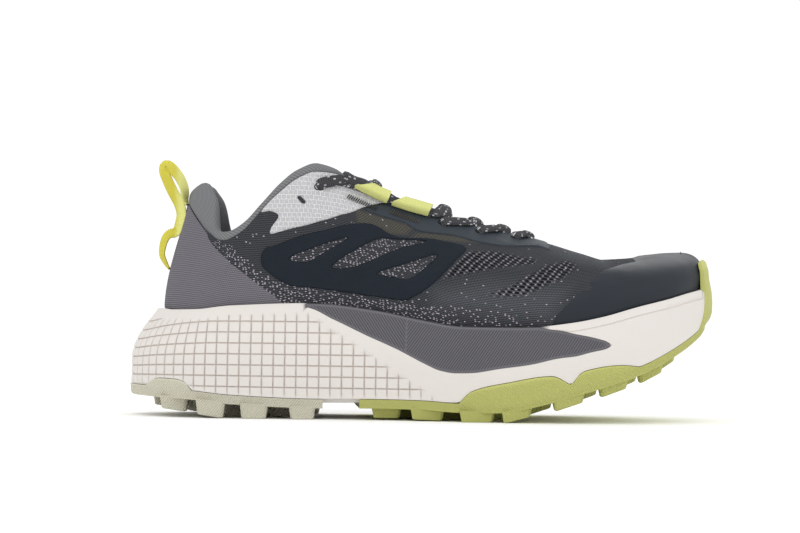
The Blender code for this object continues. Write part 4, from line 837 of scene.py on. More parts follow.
def film(name, k, outline, windows, thickness, material, wrinkle=None):
    """Overlay on one side: a thin layer of the upper's own face inside an outline."""
    def place(points):
        spots = [SKIN.locate(k, at, up) for at, up in points]
        flat = np.array([(s * ARC, t * TALL) for s, t in spots])
        return curve_through(flat, FILM_SPACING * 0.6, True)

    loops = [place(points) for points in [outline] + list(windows)]
    ring = []
    for loop in loops:
        way = unit(np.roll(loop, -1, axis=0) - np.roll(loop, 1, axis=0))
        for sign in (-1.0, 1.0):
            ring.append(loop + np.stack([-way[:, 1], way[:, 0]], axis=1) * FILM_EDGE * sign)
    ring = np.concatenate(ring)
    ring = ring[edge_distance(ring, loops) > FILM_EDGE * 0.9]
    low, high = loops[0].min(axis=0), loops[0].max(axis=0)
    xs = np.arange(low[0], high[0], FILM_SPACING)
    ys = np.arange(low[1], high[1], FILM_SPACING * 0.87)
    field = np.array([(x + (0.5 * FILM_SPACING if j % 2 else 0.0), y) for j, y in enumerate(ys) for x in xs])
    field = field[edge_distance(field, loops) > FILM_EDGE * 1.8]
    spots = np.concatenate([ring, field])
    keep = inside(spots, loops[0])
    for loop in loops[1:]:
        keep &= ~inside(spots, loop)
    spots = spots[keep]
    verts = [Vector(p) * 1000.0 for points in (*loops, spots) for p in points]
    edges = []
    start = 0
    for loop in loops:
        edges += [(start + i, start + (i + 1) % len(loop)) for i in range(len(loop))]
        start += len(loop)
    verts, _, faces, _, _, _ = delaunay_2d_cdt(verts, edges, [], 0, 0.0001)
    flat = np.array([(v.x, v.y) for v in verts]) / 1000.0
    middle = np.array([flat[list(face)].mean(axis=0) for face in faces])
    keep = inside(middle, loops[0])
    for loop in loops[1:]:
        keep &= ~inside(middle, loop)
    faces = [tuple(face) for face, wanted in zip(faces, keep) if wanted]
    used = sorted({i for face in faces for i in face})
    order = {old: new for new, old in enumerate(used)}
    faces = [tuple(order[i] for i in face) for face in faces]
    flat = flat[used]
    gap = edge_distance(flat, loops)
    height = thickness * np.sqrt(held(gap / FILM_EDGE))
    share, t = flat[:, 0] / ARC, flat[:, 1] / TALL
    if wrinkle is not None:
        height = height + wrinkle(share, t) * held(gap / (4.0 * FILM_EDGE))
    top, _ = SKIN.at(k, share, t, height)
    low_side, _ = SKIN.at(k, share, t, np.full(len(share), -FILM_SINK))
    size = len(flat)
    solid = faces + [tuple(i + size for i in face[::-1]) for face in faces]
    count = {}
    for face in faces:
        for i in range(3):
            pair = (face[i], face[(i + 1) % 3])
            count[pair] = count.get(pair, 0) + 1
    for a, b in list(count):
        if (b, a) not in count:
            solid.append((b, a, a + size, b + size))
    uv = np.stack([share * ARC, SKIN.length(k, share, t)], axis=1)
    return mesh_piece(name, np.concatenate([top, low_side]), solid, material,
                      np.concatenate([uv, uv]), {"edge": np.concatenate([gap, gap])}, 55.0)


def node(tree, kind, inputs=None, **settings):
    """Add one node, set its settings, and set or link its inputs by name or number."""
    made = tree.nodes.new(kind)
    for key, value in settings.items():
        setattr(made, key, value)
    for key, value in (inputs or {}).items():
        socket = made.inputs[key]
        if isinstance(value, bpy.types.NodeSocket):
            tree.links.new(value, socket)
        else:
            socket.default_value = value
    return made


def calc(tree, operation, a, b=0.0, c=0.0):
    """Math node on numbers or sockets, as its output."""
    return node(tree, "ShaderNodeMath", {0: a, 1: b, 2: c}, operation=operation).outputs[0]


def mix(tree, factor, a, b):
    """Colour mix node, as its output."""
    a, b = (c if isinstance(c, bpy.types.NodeSocket) else (*c[:3], 1.0) for c in (a, b))
    return node(tree, "ShaderNodeMix", {0: factor, 6: a, 7: b}, data_type="RGBA").outputs[2]


def group(name, inputs, outputs):
    """Shader group with a place and named numbers going in, and named numbers coming out."""
    tree = bpy.data.node_groups.new(name, "ShaderNodeTree")
    tree.interface.new_socket("Vector", in_out="INPUT", socket_type="NodeSocketVector")
    for label, value in inputs.items():
        tree.interface.new_socket(label, in_out="INPUT", socket_type=NUMBER).default_value = value
    for label in outputs:
        tree.interface.new_socket(label, in_out="OUTPUT", socket_type=NUMBER)
    start = tree.nodes.new("NodeGroupInput").outputs
    parts = node(tree, "ShaderNodeSeparateXYZ", {0: start[0]}).outputs
    return tree, start, parts, partial(calc, tree)


def close(tree, *values):
    """Link values to the outputs of a group."""
    end = tree.nodes.new("NodeGroupOutput").inputs
    for n, value in enumerate(values):
        tree.links.new(value, end[n])
    return tree


NUMBER = "NodeSocketFloat"


def half_step(m, rows):
    """Half a step on every second row."""
    return m("MULTIPLY", m("MODULO", m("FLOOR", rows), 2.0), 0.5)


def hump(m, run):
    """Round rise over each step of a run."""
    return m("ABSOLUTE", m("SINE", m("MULTIPLY", run, math.pi)))


def fade(tree, value, start, end):
    """Soft change from nought at the start to one at the end."""
    inputs = {0: value, 1: start, 2: end, 3: 0.0, 4: 1.0}
    return node(tree, "ShaderNodeMapRange", inputs, clamp=True).outputs[0]


def noise(tree, place, scale, detail):
    """Noise over a place."""
    return node(tree, "ShaderNodeTexNoise", {"Vector": place, "Scale": scale, "Detail": detail}).outputs[0]


def grain_group():
    """Fine moulded or felted grain, and a broad soft change of tone."""
    tree, start, _, m = group("fine_grain", {"Scale": 900.0}, ("Height", "Tone"))
    return close(tree, noise(tree, start[0], start[1], 3.0),
                 noise(tree, start[0], m("DIVIDE", start[1], 22.0), 2.0))


def knit_group():
    """Rows of small knitted loops, set half a loop apart in turn."""
    tree, start, parts, m = group("knit_loops", {"Loop Width": 0.0011, "Row Height": 0.0008, "Slope": 0.0},
                                  ("Height", "Row"))
    rows = m("DIVIDE", m("MULTIPLY_ADD", parts[0], start[3], parts[1]), start[2])
    loops = m("ADD", m("DIVIDE", parts[0], start[1]), half_step(m, rows))
    row = hump(m, rows)
    return close(tree, m("MULTIPLY", row, m("MULTIPLY_ADD", hump(m, loops), 0.5, 0.5)), row)


def fleck_group():
    """Scattered short pale stitches, more of them where the density is high."""
    tree, start, parts, m = group(
        "pale_flecks",
        {"Pitch Along": 0.0019, "Pitch Up": 0.0013, "Density": 0.5, "Size": 0.26, "Slope": 0.0}, ("Mask",))
    u = m("DIVIDE", parts[0], start[1])
    v = m("DIVIDE", m("MULTIPLY_ADD", parts[0], start[5], parts[1]), start[2])
    place = node(tree, "ShaderNodeCombineXYZ", {0: u, 1: v}).outputs[0]
    cells = node(tree, "ShaderNodeTexVoronoi", {"Vector": place, "Scale": 1.0, "Randomness": 0.8},
                 voronoi_dimensions="2D").outputs
    chance, bright, _ = node(tree, "ShaderNodeSeparateXYZ", {0: cells["Color"]}).outputs
    spot = fade(tree, cells["Distance"], start[4], m("MULTIPLY", start[4], 0.6))
    spot = m("MULTIPLY", spot, m("MULTIPLY_ADD", bright, 0.7, 0.35))
    return close(tree, m("MULTIPLY", spot, m("LESS_THAN", chance, start[3])))


def rib_group():
    """Straight fine ribs at a slant."""
    tree, start, parts, m = group("fine_ribs", {"Pitch": 0.0015, "Slant": 1.0}, ("Height",))
    run = m("DIVIDE", m("MULTIPLY_ADD", parts[2], start[2], parts[0]), start[1])
    return close(tree, m("MULTIPLY_ADD", m("SINE", m("MULTIPLY", run, 2.0 * math.pi)), 0.5, 0.5))


def weave_group():
    """Plain weave of two threads, over and under in turn."""
    tree, start, parts, m = group("plain_weave", {"Along": 0.0008, "Across": 0.0008}, ("Height",))
    u, v = (m("DIVIDE", parts[n], start[n + 1]) for n in range(2))
    odd = m("PINGPONG", m("ADD", m("FLOOR", u), m("FLOOR", v)), 1.0)
    return close(tree, node(tree, "ShaderNodeMix", {0: odd, 2: hump(m, u), 3: hump(m, v)}).outputs[0])


def grid_group():
    """Crossed raised threads of ripstop cloth."""
    tree, start, parts, m = group("ripstop_grid", {"Pitch": 0.0026, "Line": 0.2}, ("Mask",))
    wobble = noise(tree, start[0], 700.0, 1.0)
    up = m("MULTIPLY_ADD", wobble, 0.16, m("DIVIDE", parts[1], start[1]))
    along = m("ADD", m("DIVIDE", parts[0], start[1]), half_step(m, up))
    soft = m("MULTIPLY", start[2], 0.35)
    lines = (fade(tree, m("PINGPONG", run, 0.5), start[2], soft) for run in (along, up))
    return close(tree, m("MAXIMUM", *lines))


def net_group():
    """Open net: staggered holes, and a small pale loop at the ends of each."""
    tree, start, parts, m = group("open_net", {"Along": 0.0033, "Up": 0.00185, "Slope": 0.15},
                                  ("Hole", "Loop"))
    v = m("DIVIDE", m("MULTIPLY_ADD", parts[0], start[3], parts[1]), start[2])
    u = m("ADD", m("DIVIDE", parts[0], start[1]), half_step(m, v))
    u = m("MULTIPLY_ADD", noise(tree, start[0], 420.0, 1.0), 0.5, u)
    level, middle = (m("SUBTRACT", m("FRACT", run), 0.5) for run in (v, u))
    ends = m("SUBTRACT", 0.5, m("ABSOLUTE", middle))
    spots = []
    for run, wide, tall, soft in ((middle, 0.37, 0.36, 0.25), (ends, 0.20, 0.30, 0.7)):
        far = node(tree, "ShaderNodeCombineXYZ", {0: m("DIVIDE", run, wide), 1: m("DIVIDE", level, tall)})
        size = node(tree, "ShaderNodeVectorMath", {0: far.outputs[0]}, operation="LENGTH").outputs["Value"]
        spots.append(fade(tree, size, 1.0, 1.0 - soft))
    return close(tree, *spots)


class Finish:
    """One material: a Principled shader with groups placed before it."""

    def __init__(self, name, colour, roughness, level):
        self.material = bpy.data.materials.new(name)
        self.material.use_nodes = True
        self.tree = self.material.node_tree
        self.calc = partial(calc, self.tree)
        self.mix = partial(mix, self.tree)
        self.shader = self.tree.nodes["Principled BSDF"].inputs
        self.shader["Base Color"].default_value = (*colour, 1.0)
        self.shader["Roughness"].default_value = roughness
        self.shader["Specular IOR Level"].default_value = level
        where = node(self.tree, "ShaderNodeTexCoord").outputs
        self.place, self.map = where["Object"], where["UV"]

    def use(self, kind, where, **inputs):
        """Place a shared group, built on its first use, and give its outputs."""
        name, build = GROUPS[kind]
        inputs = {key.replace("_", " ").title(): value for key, value in inputs.items()}
        return node(self.tree, "ShaderNodeGroup", {"Vector": where, **inputs},
                    node_tree=bpy.data.node_groups.get(name) or build()).outputs

    def mark(self, name):
        """Value of a mark that the mesh carries."""
        return node(self.tree, "ShaderNodeAttribute", attribute_name=name).outputs["Fac"]

    def tones(self, factor, colour, low, high):
        """Mix of a darker and a lighter shade of one colour."""
        return self.mix(factor, shade(colour, low), shade(colour, high))

    def paint(self, socket):
        """Give a colour to the shader."""
        self.tree.links.new(socket, self.shader["Base Color"])

    def rough(self, factor, low, high):
        """Roughness that changes between two values over the surface."""
        span = node(self.tree, "ShaderNodeMapRange", {0: factor, 1: 0.3, 2: 0.7, 3: low, 4: high})
        self.tree.links.new(span.outputs[0], self.shader["Roughness"])

    def done(self, *bumps):
        """Chain bumps, each a height and its depth in metres, and give the material."""
        normal = None
        for height, depth in bumps:
            made = node(self.tree, "ShaderNodeBump", {"Height": height, "Distance": depth, "Strength": 1.0})
            if normal is not None:
                self.tree.links.new(normal, made.inputs["Normal"])
            normal = made.outputs["Normal"]
        if normal is not None:
            self.tree.links.new(normal, self.shader["Normal"])
        return self.material


def shade(colour, factor):
    """A colour made lighter or darker."""
    return tuple(min(c * factor, 1.0) for c in colour)


def midsole_shares():
    """Places round one side: in step with the pads at the heel, even ahead of them."""
    shares = {0.0, 1.0}
    pitch = settings().pad_width / SIDE_RUN
    half = 0.5 * settings().groove_width / SIDE_RUN
    count = int(PADS_END / pitch)
    for i in range(count + 1):
        at = (i + 0.5) * pitch
        shares.update((at - half, at, at + half, at + 0.5 * pitch))
    start = (count + 1.0) * pitch
    shares.update(np.linspace(start, 0.90, 60))
    shares.update(np.linspace(0.905, 1.0, 34))
    return np.array(sorted(shares))


def side_inserts(c, k):
    """Lower edge, upper edge and place of the grey side piece for every column."""
    at = c.at[k]
    here = (at > INSERT[0][0]) & (at < INSERT[-1][0]) & (c.share > 0.2) & (c.share < 0.9)
    low = table(INSERT_NAMES, INSERT, "low", at) * SIDE_HEIGHT
    high = table(INSERT_NAMES, INSERT, "high", at) * SIDE_HEIGHT
    tip = held((INSERT[-1][0] - at) * SOLE_LENGTH / INSERT_TIP)
    blunt = np.sqrt(1.0 - (1.0 - tip) ** 2)
    middle = 0.5 * (low + high)
    low = middle + (low - middle) * blunt
    high = middle + (high - middle) * blunt
    room = c.sole["bite"][k] - high
    room = np.maximum(np.minimum(room, GAP + (room - 0.8 * INSERT_LIP) * 1.7), GAP)
    high = c.sole["bite"][k] - room
    low = np.minimum(low, high)
    open_top = np.where(here, held(1.5 - room / INSERT_LIP), 0.0)
    return low, high, here, open_top


def build_foam():
    """Foam midsole: grooved pads at the heel, the step for the side piece, ledge, rim and bed."""
    c = Columns(midsole_shares())
    s = settings()
    halves = []
    for k in range(2):
        at = c.at[k]
        bite = c.sole["bite"][k]
        wrap = np.minimum(c.wrap[k] + GAP, bite - 2.0 * GAP)
        covered = c.covered[k]
        cover = np.where(covered, WRAP_THICKNESS, 0.0)
        low, high, here, open_top = side_inserts(c, k)
        ledge = np.maximum(bite - LEDGE_DROP, wrap)
        near = np.where(at > 0.5, 1.0, held((at - CALM_START) / (INSERT[0][0] - CALM_START)))
        calm = ledge + (np.minimum(0.5 * (low + high), ledge) - ledge) * near
        low = np.where(here, low, calm)
        high = np.where(here, high, calm)
        low = np.clip(low, wrap, bite)
        high = np.clip(high, low, bite)
        depth = np.where(here, INSERT_DEPTH, 0.0)
        ledge = np.maximum(ledge, high)
        ease = held((at - LEDGE_START) / LEDGE_EASE)
        step = LEDGE_STEP * np.where(covered, 0.0, ease)
        under = np.full(len(at), -WRAP_THICKNESS)
        lean = c.lean(k, wrap)
        rows = [
            (under + np.minimum(lean, 0.0) - EDGE_BEVEL, c.bottom[k]),
            (under + lean - 0.3 * EDGE_BEVEL, c.bottom[k] + 0.3 * EDGE_BEVEL),
            (under + lean, c.bottom[k] + EDGE_BEVEL),
            (under + lean, wrap),
            (lean - cover - 0.4 * EDGE_BEVEL, wrap),
        ]
        top = table(PAD_NAMES, PADS, "top", at) * SIDE_HEIGHT
        foot = table(PAD_NAMES, PADS, "low", at) * SIDE_HEIGHT
        border = PAD_FRONT_HEIGHT - (at - PAD_FRONT) * SOLE_LENGTH * PAD_FRONT_SLOPE
        in_step = upright_grooves(c.share)
        ceiling = np.minimum(low, ledge)
        half = 0.5 * s.groove_width
        last = wrap
        marks = [np.zeros(len(at))] * len(rows)
        for j in range(PAD_ROWS + 1):
            line = foot + (top - foot) * j / PAD_ROWS
            for place, cut in ((-half, 0.0), (0.0, 1.0), (half, 0.0), (None, 0.0)):
                height = line + ((top - foot) * 0.5 / PAD_ROWS if place is None else place)
                height = np.clip(height, last, ceiling)
                last = height
                open_here = (held((border - height) / BORDER_FADE)
                             * held((top + half - height) / half)
                             * held((height - wrap) / GROOVE_FADE)
                             * held((ceiling - height) / GROOVE_FADE))
                groove = np.maximum(in_step, cut) * open_here
                rows.append((c.lean(k, height) - cover - groove * s.groove_depth, height))
                marks.append(groove)
        sunk = INSERT_DEPTH * open_top
        cover = cover + sunk
        seat = -c.sole["lean"][k] - c.sole["rim"][k] - LEDGE_STEP
        rows += [
            (c.lean(k, low) - cover + sunk, low),
            (c.lean(k, low) - depth - cover + sunk, low),
            (c.lean(k, high) - depth - cover + sunk, high),
            (c.lean(k, high) - cover, high),
            (c.lean(k, ledge) - cover, ledge),
            (c.lean(k, ledge) - step - cover - SEAM * ease, ledge + GAP * ease),
            (c.lean(k, ledge) - step - cover, ledge + EDGE_EASE * ease),
            (c.lean(k, bite) - step - cover - SEAM, bite - EDGE_EASE * (1.0 - 0.9 * open_top)),
            (c.lean(k, bite) - step - cover - 5.0 * SEAM, bite),
            (seat + 3.0 * SEAM, bite - SEAM),
            (seat + GAP, bite - EDGE_EASE),
            (seat - CUP_DRAFT + GAP, c.sole["bed"][k]),
        ]
        marks += [np.zeros(len(at))] * (len(rows) - len(marks))
        # Painted shade: where the side piece is open at the top, its last rows, sunk behind the piece's upper
        # edge, are coloured dark.
        shadow = [open_top * (n >= len(rows) - DARK_ROWS) for n in range(len(rows))]
        halves.append([np.column_stack([c.wall(k, offset, height), mark, dark])
                       for (offset, height), mark, dark in zip(rows, marks, shadow)])
    lateral, medial = halves
    rings = lateral[::-1] + between(lateral[0], medial[0], 5)
    rings += medial + between(medial[-1], lateral[-1], 3)
    rings = np.stack(rings, axis=1)
    obj = tube("sole_foam", rings[:, :, :3], False, foam_material(), sharp=42.0,
               marks={"groove": rings[:, :, 3], "recess_shade": rings[:, :, 4]})
    return dress(obj, "midsole", "midsole")


def upright_grooves(share):
    """One where a column runs down the middle of an upright groove."""
    pitch = settings().pad_width / SIDE_RUN
    phase = share / pitch - 0.5
    near = np.abs(phase - np.round(phase)) < 0.001
    return np.where(near & (share < PADS_END + pitch), 1.0, 0.0)


def between(a, b, count):
    """Evenly spaced points strictly between two rows of points."""
    return [a + (b - a) * (i + 1) / (count + 1) for i in range(count)]


def build_insert(k, name, node_name):
    """Grey ribbed side piece, set into the step of the foam, its ribs turned half way along."""
    s = settings()
    share = np.linspace(INSERT_SPAN[0], INSERT_SPAN[1], INSERT_COLUMNS)
    c = Columns(share)
    low, high, here, _ = side_inserts(c, k)
    stations = np.nonzero(here & (high - low > INSERT_SET))[0]
    outer, inner, uv, phase, mask = [], [], [], [], []
    span = (high - low)[stations]
    run = share[stations] * SIDE_RUN
    shares = np.concatenate([[0.0], np.linspace(0.0, 1.0, INSERT_ROWS), [1.0]])
    for n, u in enumerate(shares):
        edge = n in (0, len(shares) - 1)
        height = low + SEAM + (high - low - INSERT_SET) * u
        lean = c.lean(k, low) * (1.0 - u) + c.lean(k, high) * u
        below = INSERT_DEPTH - 0.5 * SEAM if edge else INSERT_SET - GAP * math.sin(math.pi * u) ** 0.5
        outer.append(c.wall(k, lean - below, height)[stations])
        inner.append(c.wall(k, lean - INSERT_DEPTH - SEAM, height)[stations])
        z = height[stations]
        uv.append(np.stack([run, z], axis=1))
        turn = np.clip((c.at[k][stations] - RIB_TURN) / 0.004, -1.0, 1.0)
        phase.append(run + RIB_SLANT * np.where(turn > 0, -1.0, 1.0) * (z - RIB_MIDDLE))
        near = np.minimum(u, 1.0 - u) * span
        ends = np.minimum(run - run[0], run[-1] - run)
        mask.append(held((near - 0.0006) / 0.0008) * held(ends / 0.003)
                    * np.clip(np.abs(turn) * 2.0, 0.3, 1.0))
    obj = shell(name, np.stack(outer), np.stack(inner), False, insert_material("side_piece"),
                np.stack(uv), {"rib_run": np.stack(phase), "rib_mask": np.stack(mask)})
    apply_tree(obj, "raised_ribs", rib_tree,
               {"Pitch": s.rib_pitch, "Height": s.rib_height, "Finish": obj.data.materials[0]})
    return dress(obj, "side_insert", node_name)


def geometry_group(name, numbers):
    """Geometry tree with named numbers and a finish going in, and the nodes' short form."""
    tree = bpy.data.node_groups.new(name, "GeometryNodeTree")
    tree.interface.new_socket("Geometry", in_out="INPUT", socket_type="NodeSocketGeometry")
    for label, value in numbers.items():
        tree.interface.new_socket(label, in_out="INPUT", socket_type=NUMBER).default_value = value
    tree.interface.new_socket("Finish", in_out="INPUT", socket_type="NodeSocketMaterial")
    tree.interface.new_socket("Geometry", in_out="OUTPUT", socket_type="NodeSocketGeometry")

    def add(kind, inputs=None, **options):
        return node(tree, kind, inputs, **options).outputs[0]

    return tree, tree.nodes.new("NodeGroupInput").outputs, add


def finished(tree, add, geometry, finish):
    """Make a geometry real, give it its finish and close the tree."""
    real = add("GeometryNodeRealizeInstances", {0: geometry})
    return close(tree, add("GeometryNodeSetMaterial", {"Geometry": real, "Material": finish}))


def rib_tree():
    """Geometry tree that raises ribs along the run that the mesh is marked with."""
    tree, start, add = geometry_group("raised_ribs", {"Pitch": 0.0015, "Height": 0.0002})
    m = partial(calc, tree)
    run, mask = (add("GeometryNodeInputNamedAttribute", {0: mark}, data_type="FLOAT")
                 for mark in ("rib_run", "rib_mask"))
    turn = m("MULTIPLY", m("DIVIDE", run, start[1]), 2.0 * math.pi)
    wave = m("MULTIPLY_ADD", m("COSINE", turn), 0.5, -0.5)
    height = m("MULTIPLY", m("MULTIPLY", wave, mask), start[2])
    normal = add("GeometryNodeInputNormal")
    offset = add("ShaderNodeVectorMath", {0: normal, "Scale": height}, operation="SCALE")
    moved = add("GeometryNodeSetPosition", {"Geometry": start[0], "Offset": offset})
    return finished(tree, add, moved, start[3])


def stitch_tree():
    """Geometry tree that lays small threads along the edges of a path, each on the face's normal."""
    tree, start, add = geometry_group(
        "thread_run", {"Pitch": 0.0026, "Length": 0.0020, "Thickness": 0.0005, "Turn": 0.0})
    curve = add("GeometryNodeMeshToCurve", {0: start[0]})
    points = add("GeometryNodeResampleCurve", {"Curve": curve, "Length": start[1]}, mode="LENGTH")
    up = add("GeometryNodeInputNamedAttribute", {0: "up"}, data_type="FLOAT_VECTOR")
    tangent = add("GeometryNodeInputTangent")
    first = add("FunctionNodeAlignRotationToVector", {"Vector": up}, axis="Z")
    second = add("FunctionNodeAlignRotationToVector", {"Rotation": first, "Vector": tangent}, axis="X",
                 pivot_axis="Z")
    spin = add("ShaderNodeCombineXYZ", {2: start[4]})
    turned = add("FunctionNodeRotateRotation", {0: second, 1: spin}, rotation_space="LOCAL")
    ball = add("GeometryNodeMeshUVSphere", {"Segments": 6, "Rings": 5, "Radius": 0.5})
    size = add("ShaderNodeCombineXYZ", {0: start[2], 1: start[3], 2: start[3]})
    placed = add("GeometryNodeInstanceOnPoints",
                 {"Points": points, "Instance": ball, "Rotation": turned, "Scale": size})
    return finished(tree, add, placed, start[5])


def apply_tree(obj, name, build, values):
    """Run a geometry tree, built on its first use, on a piece and keep the result as a plain mesh."""
    tree = bpy.data.node_groups.get(name) or build()
    modifier = obj.modifiers.new("tree", "NODES")
    modifier.node_group = tree
    for item in tree.interface.items_tree:
        if item.in_out == "INPUT" and item.name in values:
            modifier[item.identifier] = values[item.name]
    bpy.context.view_layer.update()
    graph = bpy.context.evaluated_depsgraph_get()
    mesh = bpy.data.meshes.new_from_object(obj.evaluated_get(graph))
    obj.modifiers.remove(modifier)
    old = obj.data
    obj.data = mesh
    bpy.data.meshes.remove(old)
    mesh.name = obj.name
    return obj


def thread(name, path, ups, material, pitch, length, thickness, turn=0.0):
    """Stitches along a path: an object of small threads."""
    mesh = bpy.data.meshes.new(name)
    mesh.from_pydata([tuple(p) for p in path], [(i, i + 1) for i in range(len(path) - 1)], [])
    mark = mesh.attributes.new("up", "FLOAT_VECTOR", "POINT")
    mark.data.foreach_set("vector", np.asarray(ups, dtype=np.float32).ravel())
    obj = bpy.data.objects.new(name, mesh)
    bpy.context.scene.collection.objects.link(obj)
    apply_tree(obj, "thread_run", stitch_tree,
               {"Pitch": pitch, "Length": length, "Thickness": thickness, "Turn": turn, "Finish": material})
    obj.data.shade_smooth()
    return obj


def half_width(side, at):
    """Distance from the middle line to the edge of the sole at a share of its length."""
    place, _ = side_outline(side, np.linspace(0.0, 1.0, 400))
    return np.interp((at - 0.5) * SOLE_LENGTH, place[:, 0], place[:, 1])


def with_twins(lugs):
    """Every lug, and its twin on the other side where it isn't on the middle line."""
    for at, across, length, width, turn in lugs:
        yield at, across, length, width, turn
        if across != 0.5:
            yield at, 1.0 - across, length, width, -turn


def lug_block(at, share, length, width, sweep):
    """Points and faces of one lug: a tapered block with cut corners and a rounded foot."""
    x = (at - 0.5) * SOLE_LENGTH
    low, high = float(half_width(-1.0, at)), float(half_width(1.0, at))
    y = low + (high - low) * share
    half = 0.5 * length * SOLE_LENGTH
    side = 0.5 * width * BALL_WIDTH
    slant = sweep * half
    square = np.array([(x - half, y - side), (x + half, y - side + slant),
                       (x + half, y + side + slant), (x - half, y + side)])
    corners = []
    for i in range(4):
        here, before, after = square[i], square[i - 1], square[(i + 1) % 4]
        for other in (before, after):
            corners.append(here + unit(other - here) * LUG_CORNER)
    corners = np.array(corners)
    middle = corners.mean(axis=0)
    way = unit(corners - middle)
    spots = corners[:, 0] / SOLE_LENGTH + 0.5
    floor = table(SOLE_NAMES, SOLE, "floor", spots) * SIDE_HEIGHT
    plate = table(SOLE_NAMES, SOLE, "plate", spots) * SIDE_HEIGHT + 0.5 * PLATE_THICKNESS
    levels = [(-LUG_EDGE, floor), (-0.3 * LUG_EDGE, floor + 0.3 * LUG_EDGE), (0.0, floor + LUG_EDGE),
              (LUG_DRAFT, plate)]
    points = np.concatenate([np.column_stack([corners + way * off, z]) for off, z in levels])
    n = len(corners)
    return points, [tuple(range(n))[::-1], tuple(range(3 * n, 4 * n)), *grid_faces(4, n, n)]


def build_outsole(name, node_name, start, end, lugs, material):
    """Rubber plate that wraps up the side in a raised lip, with its lugs."""
    count = OUTSOLE_COLUMNS
    share = crowded(count)
    c = Columns(share)
    stations = np.nonzero((c.at[0] >= start - GAP) & (c.at[0] <= end + GAP))[0]
    outer_rows, inner_rows = [], []
    for k in range(2):
        bite = c.sole["bite"][k]
        plate = c.sole["plate"][k]
        top = c.wrap[k]
        base = c.bottom[k] + EDGE_BEVEL
        proud = RUBBER_PROUD * held((top - base) / 0.002)
        back_off = -WRAP_THICKNESS + GAP
        outer, inner = [], []
        for u, out in ((1.0, -SEAM), (1.0, 0.6), (0.97, 1.0), (0.8, 1.0), (0.6, 1.0), (0.4, 1.0),
                       (0.2, 0.9), (0.0, 0.6)):
            height = base + (top - base) * u
            if u == 1.0 and out > 0.0:
                height = height - SEAM
            above = held((height - bite) / np.maximum(c.top[k][:, 2] - bite, GAP))
            low_height = np.minimum(height, bite)
            face = c.wall(k, c.lean(k, low_height) + proud * out, low_height)
            back = c.wall(k, c.lean(k, low_height) + back_off, low_height)
            for i in np.nonzero(height > bite)[0]:
                t = BUMPER_START + BUMPER_RISE * above[i]
                skin, normal = SKIN.at(k, c.share[i:i + 1], np.array([t]))
                near = OVERLAY_THICKNESS + 2.0 * GAP
                thick = BUMPER_THICKNESS * (0.5 if u == 1.0 and out < 0 else 1.0)
                face[i] = skin[0] + normal[0] * (near + thick)
                back[i] = skin[0] + normal[0] * near
            outer.append(face)
            inner.append(back)
        lean = np.minimum(c.lean(k, np.minimum(c.wrap[k] + GAP, bite)), 0.0)
        border = [0.0, 0.0, 0.3, 1.0, 1.0, 1.0, 1.0, 1.0, 1.0, 0.5, 0.0]
        outer.append(c.wall(k, lean + 0.1 * EDGE_BEVEL, plate + 0.6 * PLATE_THICKNESS))
        outer.append(c.wall(k, lean - 0.4 * EDGE_BEVEL, plate + 0.1 * PLATE_THICKNESS))
        outer.append(c.wall(k, lean - EDGE_BEVEL, plate))
        back = lean + back_off
        inner += [c.wall(k, back, base - GAP), c.wall(k, back - 0.5 * EDGE_BEVEL, base - 3 * GAP),
                  c.wall(k, back - EDGE_BEVEL, plate + PLATE_THICKNESS)]
        outer_rows.append([row[stations] for row in outer])
        inner_rows.append([row[stations] for row in inner])

    def tray(rows):
        ring = rows[0] + between(rows[0][-1], rows[1][-1], 7) + rows[1][::-1]
        return np.stack(ring, axis=1)

    outer, inner = tray(outer_rows), tray(inner_rows)
    ribbed = np.tile(np.array(border + [0.0] * 7 + border[::-1]), (len(stations), 1))
    if start == 0.0:
        outer, inner, ribbed = outer[::-1], inner[::-1], ribbed[::-1]
    obj = shell(name, outer, inner, False, material, marks={"ribbed": ribbed},
                joined=np.ones(outer.shape[1], dtype=bool), sharp=38.0)
    points, faces = [], []
    for row in with_twins(lugs):
        block, sides = lug_block(*row)
        faces += [tuple(i + len(points) for i in face) for face in sides]
        points += list(block)
    lugs_obj = mesh_piece(name + "_lugs", points, faces, material,
                          marks={"ribbed": np.ones(len(points))}, sharp=38.0)
    obj = join(name, [obj, lugs_obj])
    return dress(obj, node_name, node_name)


def build_upper():
    """Knitted upper: a hollow shell, open at the ankle and throat, and underneath."""
    c = SKIN.columns
    last = len(c.share)
    around = [(0, i) for i in range(last)] + [(1, i) for i in range(last - 2, 0, -1)]

    def ring(grid):
        return np.array([grid[k][i] for k, i in around])

    share = np.array([c.share[i] for _, i in around])
    feather = ring(c.feather)
    outer = [feather]
    inner = [feather - ring(SKIN.normals[:, 0]) * UPPER_WALL * np.array([1.0, 1.0, 0.0])]
    uv = [np.stack([share * ARC, np.full(len(share), -0.01)], axis=1)]
    marks = {key: [np.zeros(len(share))] for key in ZONES}
    for r in range(len(SKIN.times)):
        row = ring(SKIN.points[:, r])
        outer.append(row)
        inner.append(row - ring(SKIN.normals[:, r]) * UPPER_WALL)
        uv.append(np.stack([share * ARC, ring(SKIN.run[:, r])], axis=1))
        for key, values in knit_marks(row[:, 0] / SOLE_LENGTH + 0.5, row[:, 2] / SHELL_HEIGHT).items():
            marks[key].append(values)
    joined = [c.ridge[i] for _, i in around]
    obj = shell("upper_knit", np.stack(outer), np.stack(inner), True, knit_material(),
                np.stack(uv), {key: np.stack(value) for key, value in marks.items()}, joined, 60.0)
    return dress(obj, "upper", "upper")


